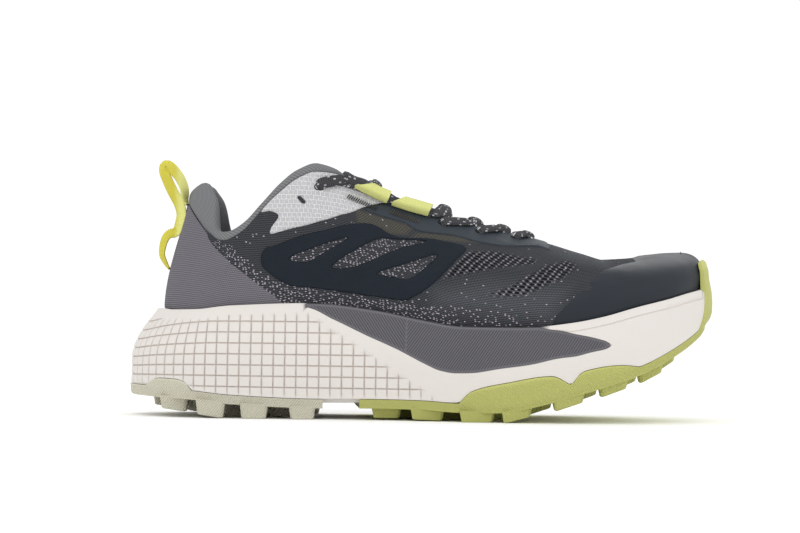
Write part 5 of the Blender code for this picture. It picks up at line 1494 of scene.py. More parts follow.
def knit_marks(at, up):
    """Where the knit has pale flecks, open net, a lighter and a warmer tone, by the side view."""
    size = np.array([SOLE_LENGTH, SHELL_HEIGHT])
    spots = np.column_stack([at, up]) * size
    found = {}
    for key, zones in ZONES.items():
        value = np.full(len(at), 0.015 if key == "fleck" else 0.0)
        for strength, reach, *corners in zones:
            loop = np.array(corners) * size
            depth = held(edge_distance(spots, [loop]) / reach)
            value = np.maximum(value, np.where(inside(spots, loop), strength * depth, 0.0))
        found[key] = value
    return found


def round_patch(name, spans, times, thickness, material, edge, joined_at):
    """Overlay round the heel or the toe: rows whose ends follow spans, in one piece on both sides."""
    grids = [[], [], [], [], []]
    steps = np.sqrt(np.linspace(0.0, 1.0, PATCH_COLUMNS))
    level = np.ones(PATCH_COLUMNS)
    for t, ends in zip(times, spans):
        sides = []
        for k, end in enumerate(ends):
            share = end + (joined_at - end) * steps
            run = SKIN.length(k, share, level * t)
            over = SKIN.length(k, share, level) - run
            open_top = ~np.interp(share, SKIN.share, SKIN.columns.ridge.astype(float)).astype(bool)
            near = np.minimum(np.abs(share - end) * ARC, np.where(open_top, over, 1.0))
            near = np.minimum(near, run + 0.3 * edge)
            height = thickness * np.sqrt(held(near / edge))
            fields = (SKIN.at(k, share, level * t, height)[0],
                      SKIN.at(k, share, level * t, -FILM_SINK * level)[0],
                      np.stack([share * ARC, run], axis=1), toe_run(share, run),
                      held((near - edge) / BORDER_FADE))
            sides.append([value if k == 0 else value[::-1][1:] for value in fields])
        for grid, both in zip(grids, zip(*sides)):
            grid.append(np.concatenate(both))
    top, low, uv, phase, mask = (np.stack(grid) for grid in grids)
    joined = None
    if joined_at > 0.5:
        left, right = (end + (joined_at - end) * steps >= RIDGE_START for end in spans[-1])
        joined = np.concatenate([left, right[::-1][1:]])
    return shell(name, top, low, False, material, uv, {"rib_run": phase, "rib_mask": mask}, joined, 50.0)


def toe_run(share, run):
    """Run across the curved ribs of the toe cap."""
    return run + 0.35 * (1.0 - share) * ARC


def share_at(k, t, line, start):
    """Share along where the face at a share up crosses a side-view line, given from its foot up."""
    line = np.array(line)
    low, high = start, SKIN.columns.share[-2]
    for _ in range(24):
        middle = 0.5 * (low + high)
        point, _ = SKIN.at(k, np.array([middle]), np.array([t]))
        at, up = point[0][0] / SOLE_LENGTH + 0.5, point[0][2] / SHELL_HEIGHT
        if at < np.interp(up, line[:, 1], line[:, 0]):
            low = middle
        else:
            high = middle
    return low


def build_toe_cap():
    """Thin moulded film over the toe, with fine curved ribs."""
    times = np.linspace(0.0, 1.0, TOE_ROWS)
    spans = [[share_at(k, t, TOE_LINE, 0.5) + TOE_SAW * (n % 2) for k in range(2)]
             for n, t in enumerate(times)]
    s = settings()
    obj = round_patch("toe_cap_film", spans, times, s.film_thickness,
                      film_material("toe_film", s.film_colour, ribs=True), 0.0007, 1.0)
    apply_tree(obj, "raised_ribs", rib_tree,
               {"Pitch": TOE_RIB_PITCH, "Height": TOE_RIB_HEIGHT, "Finish": obj.data.materials[0]})
    return dress(obj, "navy_film", "toe_cap")


def build_heel_panel():
    """Purple grey knit round the heel, ending on a slanting line."""
    times = np.linspace(0.0, 1.0, HEEL_ROWS)
    spans = [[share_at(k, t, HEEL_EDGE[::-1], 0.02) for k in range(2)] for t in times]
    obj = round_patch("heel_knit", spans, times, 0.0005,
                      plain_material("heel_knit", settings().heel_colour, 0.85, 0.15, 0.50, 1.40, 0.00014,
                                     "knit", loop_width=0.0011, row_height=0.0010, slope=-0.05),
                      0.0010, 0.0)
    return dress(obj, "heel_panel", "heel_panel")


def collar_section(k, share):
    """One section of the padded collar, from the seam outside over the roll to the lining's end."""
    shape = curve_through(np.array(COLLAR), 0.03, False)
    shape = even(shape, 0.04)
    near = np.abs(share + np.linspace(-0.008, 0.008, 5))
    rise = table(ROLL_NAMES, ROLL, ("lateral", "medial")[k], near).mean()
    thick = table(ROLL_NAMES, ROLL, "thick", near).mean()
    out = np.where(shape[:, 0] < 0.0, shape[:, 0] * thick, shape[:, 0])
    up = np.where(shape[:, 1] > 0.0, shape[:, 1] * rise, shape[:, 1])
    points, normals = SKIN.down(k, np.full(len(up), share), -up * COLLAR_DEPTH)
    inside_part = (UPPER_WALL + 2.0 * GAP) * held(-up * 8.0) * (out < -0.05)
    return points + normals * (out * COLLAR_DEPTH - inside_part)[:, None], rise


def build_collar():
    """Padded collar: a soft roll over the edge, and the lining of the ankle."""
    finish = COLLAR_END + COLLAR_TAIL
    thin = COLLAR_THIN + COLLAR_TAIL
    shares = np.concatenate([np.linspace(0.0, COLLAR_END - COLLAR_THIN, COLLAR_STEPS),
                             finish - thin * np.linspace(0.92, 0.0, 14) ** 2])
    order = [(1, s) for s in shares[:0:-1]] + [(0, s) for s in shares]
    rings, uv = [], []
    run = 0.0
    last = None
    for k, share in order:
        section, rise = collar_section(k, share)
        v = travel(section)
        middle = section[len(section) // 3]
        if last is not None:
            run += float(np.linalg.norm(middle - last))
        last = middle
        pucker = np.zeros(len(section))
        for at, width, count, height in COLLAR_PUCKERS:
            near = math.exp(-((share - at) / width) ** 2)
            wave = near * height * math.cos(count * (share - at) / width)
            pucker += wave * np.exp(-((v - PUCKER_PLACE) / PUCKER_REACH) ** 2)
        centre = section.mean(axis=0)
        section = section + unit(section - centre) * (pucker / rise**2)[:, None]
        less = math.sqrt(min(max((finish - share) / thin, 0.02), 1.0))
        section = section[:1] + (section - section[:1]) * less
        under, _ = SKIN.down(k, share, 0.002, -UPPER_WALL - GAP)
        rings.append(np.concatenate([section, under]))
        uv.append(np.stack([np.full(len(v) + 1, run), np.append(v, v[-1] + 0.02)], axis=1))
    cloth = plain_material("collar_knit", settings().collar_colour, 0.9, 0.15, 0.62, 1.20, 0.00013,
                           "knit", "Row", loop_width=0.0014, row_height=0.0017, slope=1.0)
    obj = tube("collar_padding", np.array(rings), True, cloth, np.array(uv), 60.0)
    dress(obj, "collar", "collar")
    return obj


def throat(share, across, sink):
    """Points and ways up over the throat at a share along and shares across it."""
    left, left_normal = SKIN.down(0, share, 0.0)
    right, right_normal = SKIN.down(1, share, 0.0)
    left_low, _ = SKIN.down(0, share, CROWN_RUN)
    right_low, _ = SKIN.down(1, share, CROWN_RUN)
    left_way, right_way = unit(left - left_low)[0], unit(right - right_low)[0]
    left, right = left[0] + left_normal[0] * sink, right[0] + right_normal[0] * sink
    reach = np.linalg.norm(right - left) * CROWN
    t = np.atleast_1d(np.asarray(across, dtype=float))[:, None]
    point = ((1 - t) ** 3 * left + 3 * (1 - t) ** 2 * t * (left + left_way * reach)
             + 3 * (1 - t) * t**2 * (right + right_way * reach) + t**3 * right)
    up = unit(left_normal[0] * (1 - t) + right_normal[0] * t)
    return point, up, reach


def build_tongue():
    """Padded tongue: soft over the instep, thin at its sides, with a bound end at the ankle."""
    rows, backs, uv = [], [], []
    sink = -(UPPER_WALL + 2.0 * GAP)
    shares = np.linspace(TONGUE_START, TONGUE_END, TONGUE_ROWS)
    across = np.linspace(0.0, 1.0, 23)
    laps = np.linspace(TONGUE_LAP, LAP_END, 6)
    for n, share in enumerate(shares):
        low, low_normal = SKIN.down(0, np.full(6, share), laps, sink)
        high, high_normal = SKIN.down(1, np.full(6, share), laps, sink)
        crown, up, reach = throat(share, across, sink)
        pad = TONGUE_PAD * np.sin(math.pi * across) * min(reach / TONGUE_FULL_REACH, 1.0)
        quilt = QUILT_HEIGHT * np.cos(2.0 * math.pi * share * ARC / QUILT_PITCH)
        quilt = quilt * np.sin(math.pi * across) ** 2
        crown = crown + up * (pad + quilt * (reach > 0.002))[:, None]
        row = np.concatenate([low, crown, high[::-1]])
        way = np.concatenate([low_normal, up, high_normal[::-1]])
        edge = np.concatenate([np.linspace(0.3, 0.9, 6), np.ones(len(across)), np.linspace(0.9, 0.3, 6)])
        end = min(1.0, math.sqrt(min(n / 5.0, 1.0)) * 0.85 + 0.15)
        thick = TONGUE_THICKNESS * edge * end
        middle = row - way * (0.5 * TONGUE_THICKNESS * edge)[:, None]
        rows.append(middle + way * (0.5 * thick)[:, None])
        backs.append(middle - way * (0.5 * thick)[:, None])
        v = travel(row)
        uv.append(np.stack([np.full(len(v), share * ARC), v], axis=1))
    obj = shell("tongue_padding", np.array(rows), np.array(backs), False, tongue_material(),
                np.array(uv), None, None, 60.0)
    dress(obj, "tongue", "tongue")
    return obj


def build_insole():
    """Flat fabric insole on the foot bed."""
    c = Columns(crowded(120))
    sections = []
    for k in range(2):
        bite, bed = c.sole["bite"][k], c.sole["bed"][k]
        foot = -(c.sole["lean"][k] + c.sole["rim"][k] + LEDGE_STEP)
        rise = INSOLE_THICKNESS / (bite - bed)
        low = foot - CUP_DRAFT - UPPER_WALL - 3.0 * GAP
        high = low + CUP_DRAFT * rise
        rows = [(low, bed + 2.0 * GAP), (low + 0.3 * (high - low), bed + 0.3 * INSOLE_THICKNESS),
                (high - 0.0002, bed + INSOLE_THICKNESS - 0.0006), (high - 0.0010, bed + INSOLE_THICKNESS)]
        sections.append([c.wall(k, off, z) for off, z in rows])
    lateral, medial = sections
    rings = lateral + between(lateral[-1], medial[-1], 9) + medial[::-1] + between(medial[0], lateral[0], 3)
    rings = np.stack(rings, axis=1)
    cloth = plain_material("insole_cloth", settings().collar_colour, 0.9, 0.2, 0.4, 0.8, 0.00015, "weave",
                           along=0.0012, across=0.0012)
    obj = tube("insole_board", rings, False, cloth, rings[:, :, :2], 50.0)
    return dress(obj, "insole", "insole")


def soft_ring(count, wide, tall):
    """Angles and points of a ring, squarer where the powers are lower."""
    a = np.linspace(0.0, 2.0 * math.pi, count, endpoint=False)
    return (a, np.sign(np.cos(a)) * np.abs(np.cos(a)) ** wide, np.sign(np.sin(a)) * np.abs(np.sin(a)) ** tall)


def flat_oval(width, thickness, count):
    """Section of a flat oval lace."""
    _, x, y = soft_ring(count, 0.8, 0.9)
    return x * 0.5 * width, y * 0.5 * thickness


def sweep(name, path, ups, x, y, material):
    """Section x across and y up, carried along a path with given ways up."""
    along = unit(np.gradient(path, axis=0))
    rings, uv = [], []
    run = travel(path)
    girth = np.concatenate([[0.0], np.cumsum(np.hypot(np.diff(x), np.diff(y)))])
    for n, (point, up, way) in enumerate(zip(path, ups, along)):
        wide = unit(np.cross(way, up))
        up = unit(np.cross(wide, way))
        rings.append(point + wide * x[:, None] + up * y[:, None])
        uv.append(np.stack([np.full(len(x), run[n]), girth], axis=1))
    return tube(name, np.array(rings), True, material, np.array(uv), 60.0)


def skin_spot(k, share, distance, height):
    """One point of the upper's face and its way out, by distance down from the top edge."""
    point, normal = SKIN.down(k, share, distance, height)
    return point[0], normal[0]


def face_place(k, at, up):
    """Share along and distance down from the top edge of a place in side view."""
    share, t = SKIN.locate(k, at, up)
    full = SKIN.length(k, np.array([share, share]), np.array([1.0, t]))
    return share, float(full[0] - full[1])


def lace_strand(k, at, up, over, reach, cross, late):
    """One visible run of lace: out of its hole, along the eyestay, over the throat and under."""
    start, deep = face_place(k, at, up)
    points, ups = [], []
    for part, height in LACE_START:
        point, normal = skin_spot(k, start + reach * part, deep * (1.0 - max(part, 0.0) ** late), height)
        points.append(point)
        ups.append(normal)
    for t in np.linspace(0.07, LACE_TAIL, 8):
        part = t / LACE_TAIL
        spot, way, _ = throat(start + reach + cross * t / LACE_TAIL, [t if k == 0 else 1.0 - t], 0.0)
        points.append(spot[0] + way[0] * (LACE_LIFT - 0.0004 + over * math.sin(math.pi * min(part, 1.0))))
        ups.append(way[0])
    point, normal = skin_spot(1 - k, start + reach + cross, 0.003, -0.0022)
    points.append(point)
    ups.append(normal)
    both = np.concatenate([np.array(points), np.array(ups)], axis=1)
    fine = curve_through(both, LACE_STEP, False)
    x, y = flat_oval(LACE_WIDTH, LACE_THICKNESS, LACE_POINTS)
    return sweep("lace_run", fine[:, :3], unit(fine[:, 3:]), x, y, lace_material("lace_weave"))


def build_laces():
    """Lace through the eyelets and tunnels, crossing over the tongue, its hidden ends at the top."""
    parts = []
    for at, up, over, *run in LACE_RUNS:
        parts += [lace_strand(k, at, up, over[k], *run) for k in range(2)]
    for k in range(2):
        shares = np.linspace(TUNNELS[1] - 0.040, TUNNELS[0] + 0.030, 36)
        path, up = SKIN.down(k, shares, TAPE_SET, OVERLAY_THICKNESS + TUNNEL_THICKNESS + 0.5 * LACE_THICKNESS)
        x, y = flat_oval(LACE_WIDTH * 0.86, LACE_THICKNESS * 0.9, LACE_POINTS)
        parts.append(sweep("lace_side", path, up, x, y, lace_material("lace_weave")))
    obj = join("lace", parts)
    return dress(obj, "lace", "lace_bar_1", "lace_bar_2", "lace_cross_1", "lace_cross_2", "lace_cross_3")


def build_tunnels():
    """Webbing tunnels that the lace runs through, sewn down at the throat's edge, their ends cut askew."""
    made = []
    count = 14
    tape = plain_material("lime_tape", settings().webbing_colour, 0.8, 0.2, 0.8, 1.05, 0.00012, "weave",
                          along=0.0007, across=0.0005)
    a, ring_x, ring_y = soft_ring(28, 0.45, 0.6)
    for k, side in enumerate(("lateral", "medial")):
        for n, share in enumerate(TUNNELS):
            shares = share + np.linspace(-0.5, 0.5, count) * TAPE_LENGTH / (EDGE_RUN * SOLE_LENGTH)
            base, up = SKIN.down(k, shares, TAPE_SET, OVERLAY_THICKNESS + 2.0 * GAP)
            top, _ = SKIN.down(k, shares, TAPE_SET - TAPE_SIDE)
            low, _ = SKIN.down(k, shares, TAPE_SET + TAPE_SIDE)
            across = unit(top - low)
            along = unit(np.gradient(base, axis=0))
            tall = LACE_THICKNESS + 2.0 * TUNNEL_THICKNESS + 2.0 * GAP
            outer, inner, uv = [], [], []
            for i in range(count):
                part = i / (count - 1)
                belly = 1.0 + 0.06 * math.sin(math.pi * part)
                skew = TAPE_ENDS[n][0] * (1.0 - part) + TAPE_ENDS[n][1] * part
                middle = base[i] + up[i] * 0.5 * tall
                for rows, less in ((outer, 0.0), (inner, TUNNEL_THICKNESS)):
                    wide, high = 0.5 * TAPE_WIDTH - less, 0.5 * tall * belly - less
                    shift = skew * 0.5 * (ring_x + 1.0)
                    rows.append(middle + across[i] * (ring_x * wide)[:, None]
                                + up[i] * (ring_y * high)[:, None] + along[i] * shift[:, None])
                uv.append(np.stack([shares[i] * ARC + shift, a * 0.003], axis=1))
            obj = shell("tunnel_%s_%d" % (side, n + 1), np.array(outer), np.array(inner), True,
                        tape, np.array(uv), None, None, 50.0)
            made.append(dress(obj, "lime_webbing", "lace_tunnel_%s_%d" % (side, n + 1)))
    return made


def build_pull_loop():
    """Heel strap of webbing: a free loop over the collar and a bow down the heel."""
    base = 2.0 * GAP + OVERLAY_THICKNESS + 0.5 * STRAP_THICKNESS
    path = []
    for out, drop in ((-0.14, 0.08), *PULL_LOOP, (-0.12, 3.52)):
        point, normal = SKIN.down(0, 0.0, drop * STRAP_WIDTH)
        path.append(point[0] + normal[0] * (base + out * STRAP_WIDTH))
    path = even(curve_through(np.array(path), 0.0008, False), 0.0011)
    count = len(path)
    along = unit(np.gradient(path, axis=0))
    twist = settings().strap_twist * np.sin(np.linspace(0.0, math.pi, count)) ** 0.5
    ups = []
    for way, angle in zip(along, twist):
        flat = unit(np.cross(way, np.array([0.0, 1.0, 0.0])))
        wide = unit(np.cross(flat, way))
        ups.append(flat * math.cos(angle) + wide * math.sin(angle))
    x, y = np.array(STRAP_SECTION).T
    obj = sweep("pull_strap", path, np.array(ups), x * STRAP_WIDTH, y * STRAP_THICKNESS, strap_material())
    pale = obj.data.attributes.new("pale", "FLOAT", "POINT")
    spots = np.array([v.co for v in obj.data.vertices])
    top = path[np.argmax(path[:, 2])]
    near = held((spots[:, 0] - top[0] - 0.5 * STRAP_WIDTH) / 0.003)
    pale.data.foreach_set("value", (near * (spots[:, 2] > top[2] - 4.0 * STRAP_WIDTH)).astype(np.float32))
    return dress(obj, "loop_webbing", "pull_loop")


GROUPS = {"grain": ("fine_grain", grain_group), "knit": ("knit_loops", knit_group),
          "flecks": ("pale_flecks", fleck_group), "ribs": ("fine_ribs", rib_group),
          "weave": ("plain_weave", weave_group), "grid": ("ripstop_grid", grid_group),
          "net": ("open_net", net_group)}


def once(build):
    """Wrap a material's function so that pieces that name the same material share it."""
    def found(name, *values, **options):
        return bpy.data.materials.get(name) or build(name, *values, **options)
    return found


@once
def plain_material(name, colour, rough, level, low, high, depth, kind, factor="Height", **inputs):
    """Cloth, tape or thread: two tones of one colour and one fine bump from one group."""
    f = Finish(name, colour, rough, level)
    made = f.use(kind, f.place if kind == "grain" else f.map, **inputs)
    f.paint(f.tones(made[factor], colour, low, high))
    return f.done((made["Height"], depth))


def foam_material():
    """Warm white moulded foam, with painted shade in the grooves between its pads and over the side piece's
    recess.
    """
    s = settings()
    f = Finish("midsole_foam", s.foam_colour, 0.62, 0.35)
    grain = f.use("grain", f.place, scale=1400.0)
    broad = f.use("grain", f.place, scale=260.0)
    # Painted shade: where the groove mark is high, the grooves between the pads take a darker, pinker colour.
    tone = f.mix(f.mark("groove"), f.tones(broad["Tone"], s.foam_colour, 0.965, 1.02), s.groove_shade_colour)
    # Painted shade: the rows over the side piece's recess take half the side piece's colour.
    f.paint(f.mix(f.mark("recess_shade"), tone, shade(s.insert_colour, 0.5)))
    f.rough(broad["Height"], 0.56, 0.68)
    return f.done((grain["Height"], 0.00006))


def rubber_material(name, colour, slant):
    """Moulded rubber with fine slanting ribs on its walls, their shading painted into its colour, and a dull
    grain.
    """
    f = Finish(name, colour, 0.62, 0.4)
    grain = f.use("grain", f.place, scale=1100.0)
    ribs = f.use("ribs", f.place, pitch=settings().rib_pitch, slant=slant)
    rib = f.calc("MULTIPLY", ribs["Height"], f.mark("ribbed"))
    dirt = f.use("grain", f.place, scale=700.0)
    tone = f.tones(dirt["Tone"], colour, 0.93, 1.04)
    # Painted shade: where the rubber is marked ribbed, the colour darkens along the ribs.
    f.paint(f.mix(f.calc("MULTIPLY", rib, 0.35), tone, shade(colour, 0.72)))
    return f.done((rib, 0.00036), (grain["Height"], 0.00005))


@once
def insert_material(name):
    """Grey moulded plastic foam of the ribbed side piece, with painted shade in the troughs between its ribs.
    """
    s = settings()
    f = Finish(name, s.insert_colour, 0.6, 0.3)
    grain = f.use("grain", f.place, scale=1500.0)
    turn = f.calc("MULTIPLY", f.mark("rib_run"), 2.0 * math.pi / s.rib_pitch)
    crest = f.calc("MULTIPLY_ADD", f.calc("COSINE", turn), 0.5, 0.5)
    trough = f.calc("MULTIPLY", f.calc("SUBTRACT", 1.0, crest), f.mark("rib_mask"))
    # Painted shade: the rib troughs are darkened towards half the side piece's colour, the crests kept
    # lighter.
    f.paint(f.mix(trough, f.tones(grain["Tone"], s.insert_colour, 1.12, 1.28), shade(s.insert_colour, 0.50)))
    return f.done((grain["Height"], 0.00005))


def knit_material():
    """Dark knit with pale flecks, denser in marked zones, and open net where it is marked, its holes painted
    near-black as the shade seen through them.
    """
    s = settings()
    f = Finish("knit", s.knit_colour, 0.88, 0.1)
    knit = f.use("knit", f.map, loop_width=0.0013, row_height=0.00095, slope=0.10)["Height"]
    flecks = f.use("flecks", f.map, pitch_along=0.0017, pitch_up=0.00115, density=f.mark("fleck"), size=0.30,
                   slope=0.10)["Mask"]
    net = f.use("net", f.map)
    hole, loop = (f.calc("MULTIPLY", net[part], f.mark("net")) for part in ("Hole", "Loop"))
    base = f.tones(knit, s.knit_colour, 0.40, 2.1)
    for mark, colour in (("tone", shade(s.knit_colour, 2.5)), ("warm", s.warm_colour)):
        base = f.mix(f.mark(mark), base, f.tones(knit, colour, 0.30, 1.9))
    # Painted shade: the net's holes are painted near-black for the shade seen through them.
    base = f.mix(hole, base, shade(s.knit_colour, 0.12))
    base = f.mix(loop, base, shade(s.fleck_colour, 0.62))
    f.paint(f.mix(flecks, base, s.fleck_colour))
    return f.done((f.calc("ADD", f.calc("SUBTRACT", knit, hole), f.calc("MAXIMUM", flecks, loop)), 0.00022))


@once
def film_material(name, colour, ribs=False):
    """Thin dark film welded on the knit, satin, with the knit's rows just felt under it."""
    f = Finish(name, colour, 0.52, 0.25 if ribs else 0.06)
    grain = f.use("grain", f.place, scale=1300.0)
    f.paint(f.tones(grain["Tone"], colour, 0.88, 1.12))
    f.rough(grain["Tone"], 0.42, 0.52)
    fine = (grain["Height"], 0.00003)
    if ribs:
        return f.done(fine)
    knit = f.use("knit", f.map, loop_width=0.0040, row_height=0.0011, slope=0.10)
    return f.done((knit["Row"], 0.00004), fine)


@once
def ripstop_material(name):
    """Pale grey ripstop cloth with crossed white threads."""
    s = settings()
    f = Finish(name, s.ripstop_colour, 0.6, 0.2)
    grid = f.use("grid", f.map, pitch=0.0023, line=0.15)["Mask"]
    weave = f.use("weave", f.map, along=0.00042, across=0.00042)["Height"]
    f.paint(f.mix(grid, f.tones(weave, s.ripstop_colour, 0.78, 1.05), (0.70, 0.70, 0.71)))
    return f.done((grid, 0.00022), (weave, 0.00006))


def tongue_material():
    """Dark knit of the tongue, with a few pale flecks."""
    s = settings()
    f = Finish("tongue_knit", s.knit_colour, 0.9, 0.1)
    knit = f.use("knit", f.map, loop_width=0.0012, row_height=0.0010, slope=0.0)["Height"]
    flecks = f.use("flecks", f.map, density=0.10, size=0.3)["Mask"]
    f.paint(f.mix(flecks, f.tones(knit, s.knit_colour, 0.6, 1.8), s.fleck_colour))
    return f.done((knit, 0.00018))


@once
def lace_material(name):
    """Charcoal woven lace with scattered pale picks."""
    s = settings()
    f = Finish(name, s.lace_colour, 0.85, 0.15)
    weave = f.use("weave", f.map, along=0.0010, across=0.0009)["Height"]
    flecks = f.use("flecks", f.map, pitch_along=0.0028, pitch_up=0.0017, density=0.62, size=0.30)["Mask"]
    f.paint(f.mix(flecks, f.tones(weave, s.lace_colour, 0.45, 1.5), (0.72, 0.72, 0.74)))
    return f.done((f.calc("ADD", weave, f.calc("MULTIPLY", flecks, 0.5)), 0.00025))


def strap_material():
    """Yellow webbing of the heel strap, in fine twill."""
    s = settings()
    f = Finish("yellow_webbing", s.strap_colour, 0.8, 0.2)
    weave = f.use("weave", f.map, along=0.0008, across=0.0006)["Height"]
    f.paint(f.mix(f.mark("pale"), f.tones(weave, s.strap_colour, 0.72, 1.08),
                  f.tones(weave, s.strap_pale_colour, 0.8, 1.05)))
    return f.done((weave, 0.00018))


def build_overlays():
    """Films welded on the knit: the cage with its windows, the eyestay and the ripstop quarter."""
    s = settings()
    for k, word in enumerate(("lateral", "medial")):
        cage = film("cage_film_" + word, k, CAGE, WINDOWS, s.film_thickness,
                    film_material("navy_welded", s.film_colour), wrinkle=film_waves)
        dress(cage, "navy_film", "cage_" + word)
        stay = film("eyestay_film_" + word, k, EYESTAY, (), 1.1 * s.film_thickness,
                    film_material("slate_film", s.eyestay_colour), wrinkle=film_waves)
        dress(stay, "eyestay_film", "eyestay_" + word)
        quarter = film("ripstop_" + word, k, QUARTER, (SPARE_SLOT,), 0.8 * s.film_thickness,
                       ripstop_material("ripstop_cloth"))
        dress(quarter, "ripstop", "quarter_" + word)


def film_waves(share, t):
    """Faint level creases that run along the film."""
    return 0.00010 * np.sin(t * TALL / 0.0021 + 9.0 * np.sin(share * 21.0)) * (
        0.5 + 0.5 * np.sin(share * 47.0 + t * 11.0))


def build_stitches():
    """Bar tacks on both sides of the eyestay."""
    dark, brown = (
        plain_material(name, colour, 0.7, 0.3, 0.6, 1.3, 0.00006, "grain", scale=2600.0)
        for name, colour in (("dark_thread", (0.03, 0.03, 0.03)), ("brown_thread", (0.070, 0.060, 0.048))))
    parts = []
    for k in range(2):
        for n, (a, b) in enumerate(TACKS):
            first, last = SKIN.locate(k, *a), SKIN.locate(k, *b)
            shares = np.linspace(first[0], last[0], 14)
            ts = np.linspace(first[1], last[1], 14)
            path, up = SKIN.at(k, shares, ts, np.full(14, OVERLAY_THICKNESS + 0.0004))
            parts.append(thread("tack", path, up, brown if n == 0 else dark, 0.0011,
                                0.0036, 0.0006, math.radians(76.0)))
    obj = join("stitches", parts)
    return dress(obj, "eyestay_film")


def build_eyelets():
    """Punched holes that the lace comes out of, drawn as near-black rims and sunken floors whose colour is
    painted shade.
    """
    # Painted shade: the near-black colour stands for the shade inside the holes.
    dark = Finish("hole_shade", (0.008, 0.009, 0.011), 0.9, 0.1).material
    parts = []
    for k in range(2):
        for at, high in EYELETS:
            share, distance = face_place(k, at, high)
            rings = []
            centre, normal = skin_spot(k, share, distance, 0.0)
            ahead, _ = skin_spot(k, share + 0.004, distance, 0.0)
            way = unit(ahead - centre)
            side = unit(np.cross(normal, way))
            a = np.linspace(0.0, 2.0 * math.pi, 20, endpoint=False)
            for size, height in EYELET_RIM:
                rings.append(centre + normal * height + way * (np.cos(a) * EYELET_LONG * size)[:, None]
                             + side * (np.sin(a) * EYELET_WIDE * size)[:, None])
            parts.append(tube("eyelet", np.array(rings), False, dark, sharp=40.0))
    obj = join("eyelets", parts)
    return dress(obj, "eyestay_film")


def build_stage():
    """Pale floor and backdrop, soft studio lights and the camera at the photograph's angle."""
    s = settings()
    floor = mesh_piece("floor", [(-3.0, -3.0, 0.0), (3.0, -3.0, 0.0), (3.0, 3.0, 0.0), (-3.0, 3.0, 0.0)],
                       [(0, 1, 2, 3)], floor_material())
    for name, place, size, power, colour in LIGHTS:
        lamp = bpy.data.lights.new(name, "AREA")
        lamp.shape = "RECTANGLE"
        lamp.size, lamp.size_y = size
        lamp.energy = power
        lamp.color = colour
        obj = bpy.data.objects.new(name, lamp)
        obj.location = place
        obj.rotation_euler = (Vector((0.0, 0.0, 0.05)) - Vector(place)).to_track_quat("-Z", "Y").to_euler()
        bpy.context.scene.collection.objects.link(obj)
    world = bpy.data.worlds.new("studio")
    world.use_nodes = True
    world.node_tree.nodes["Background"].inputs["Color"].default_value = (1.0, 1.0, 1.0, 1.0)
    world.node_tree.nodes["Background"].inputs["Strength"].default_value = s.world_light
    bpy.context.scene.world = world
    bpy.context.scene.view_settings.view_transform = "Standard"
    camera = bpy.data.cameras.new("camera")
    camera.sensor_width = 36.0
    camera.lens = CAMERA_LENS
    camera.clip_start = 0.01
    view = bpy.data.objects.new("camera", camera)
    view.location = CAMERA_PLACE
    aim = (Vector(CAMERA_AIM) - Vector(CAMERA_PLACE)).to_track_quat("-Z", "Y").to_matrix()
    view.rotation_euler = (aim @ Matrix.Rotation(math.radians(CAMERA_ROLL), 3, "Z")).to_euler()
    bpy.context.scene.collection.objects.link(view)
    bpy.context.scene.camera = view


def floor_material():
    """Matt white floor."""
    f = Finish("floor", (0.96, 0.96, 0.96), 0.95, 0.1)
    f.paint(f.mix(f.use("grain", f.place, scale=60.0)["Tone"], (0.95, 0.95, 0.95), (0.97, 0.97, 0.97)))
    return f.done()


def colour_choice(name, description, default):
    """Colour that a user can change."""
    return FloatVectorProperty(name=name, description=description, default=default, subtype="COLOR",
                               size=3, min=0.0, max=1.0)


def length_choice(name, description, default):
    """Size that a user can change."""
    return FloatProperty(name=name, description=description, default=default, unit="LENGTH", precision=5,
                         min=0.0)


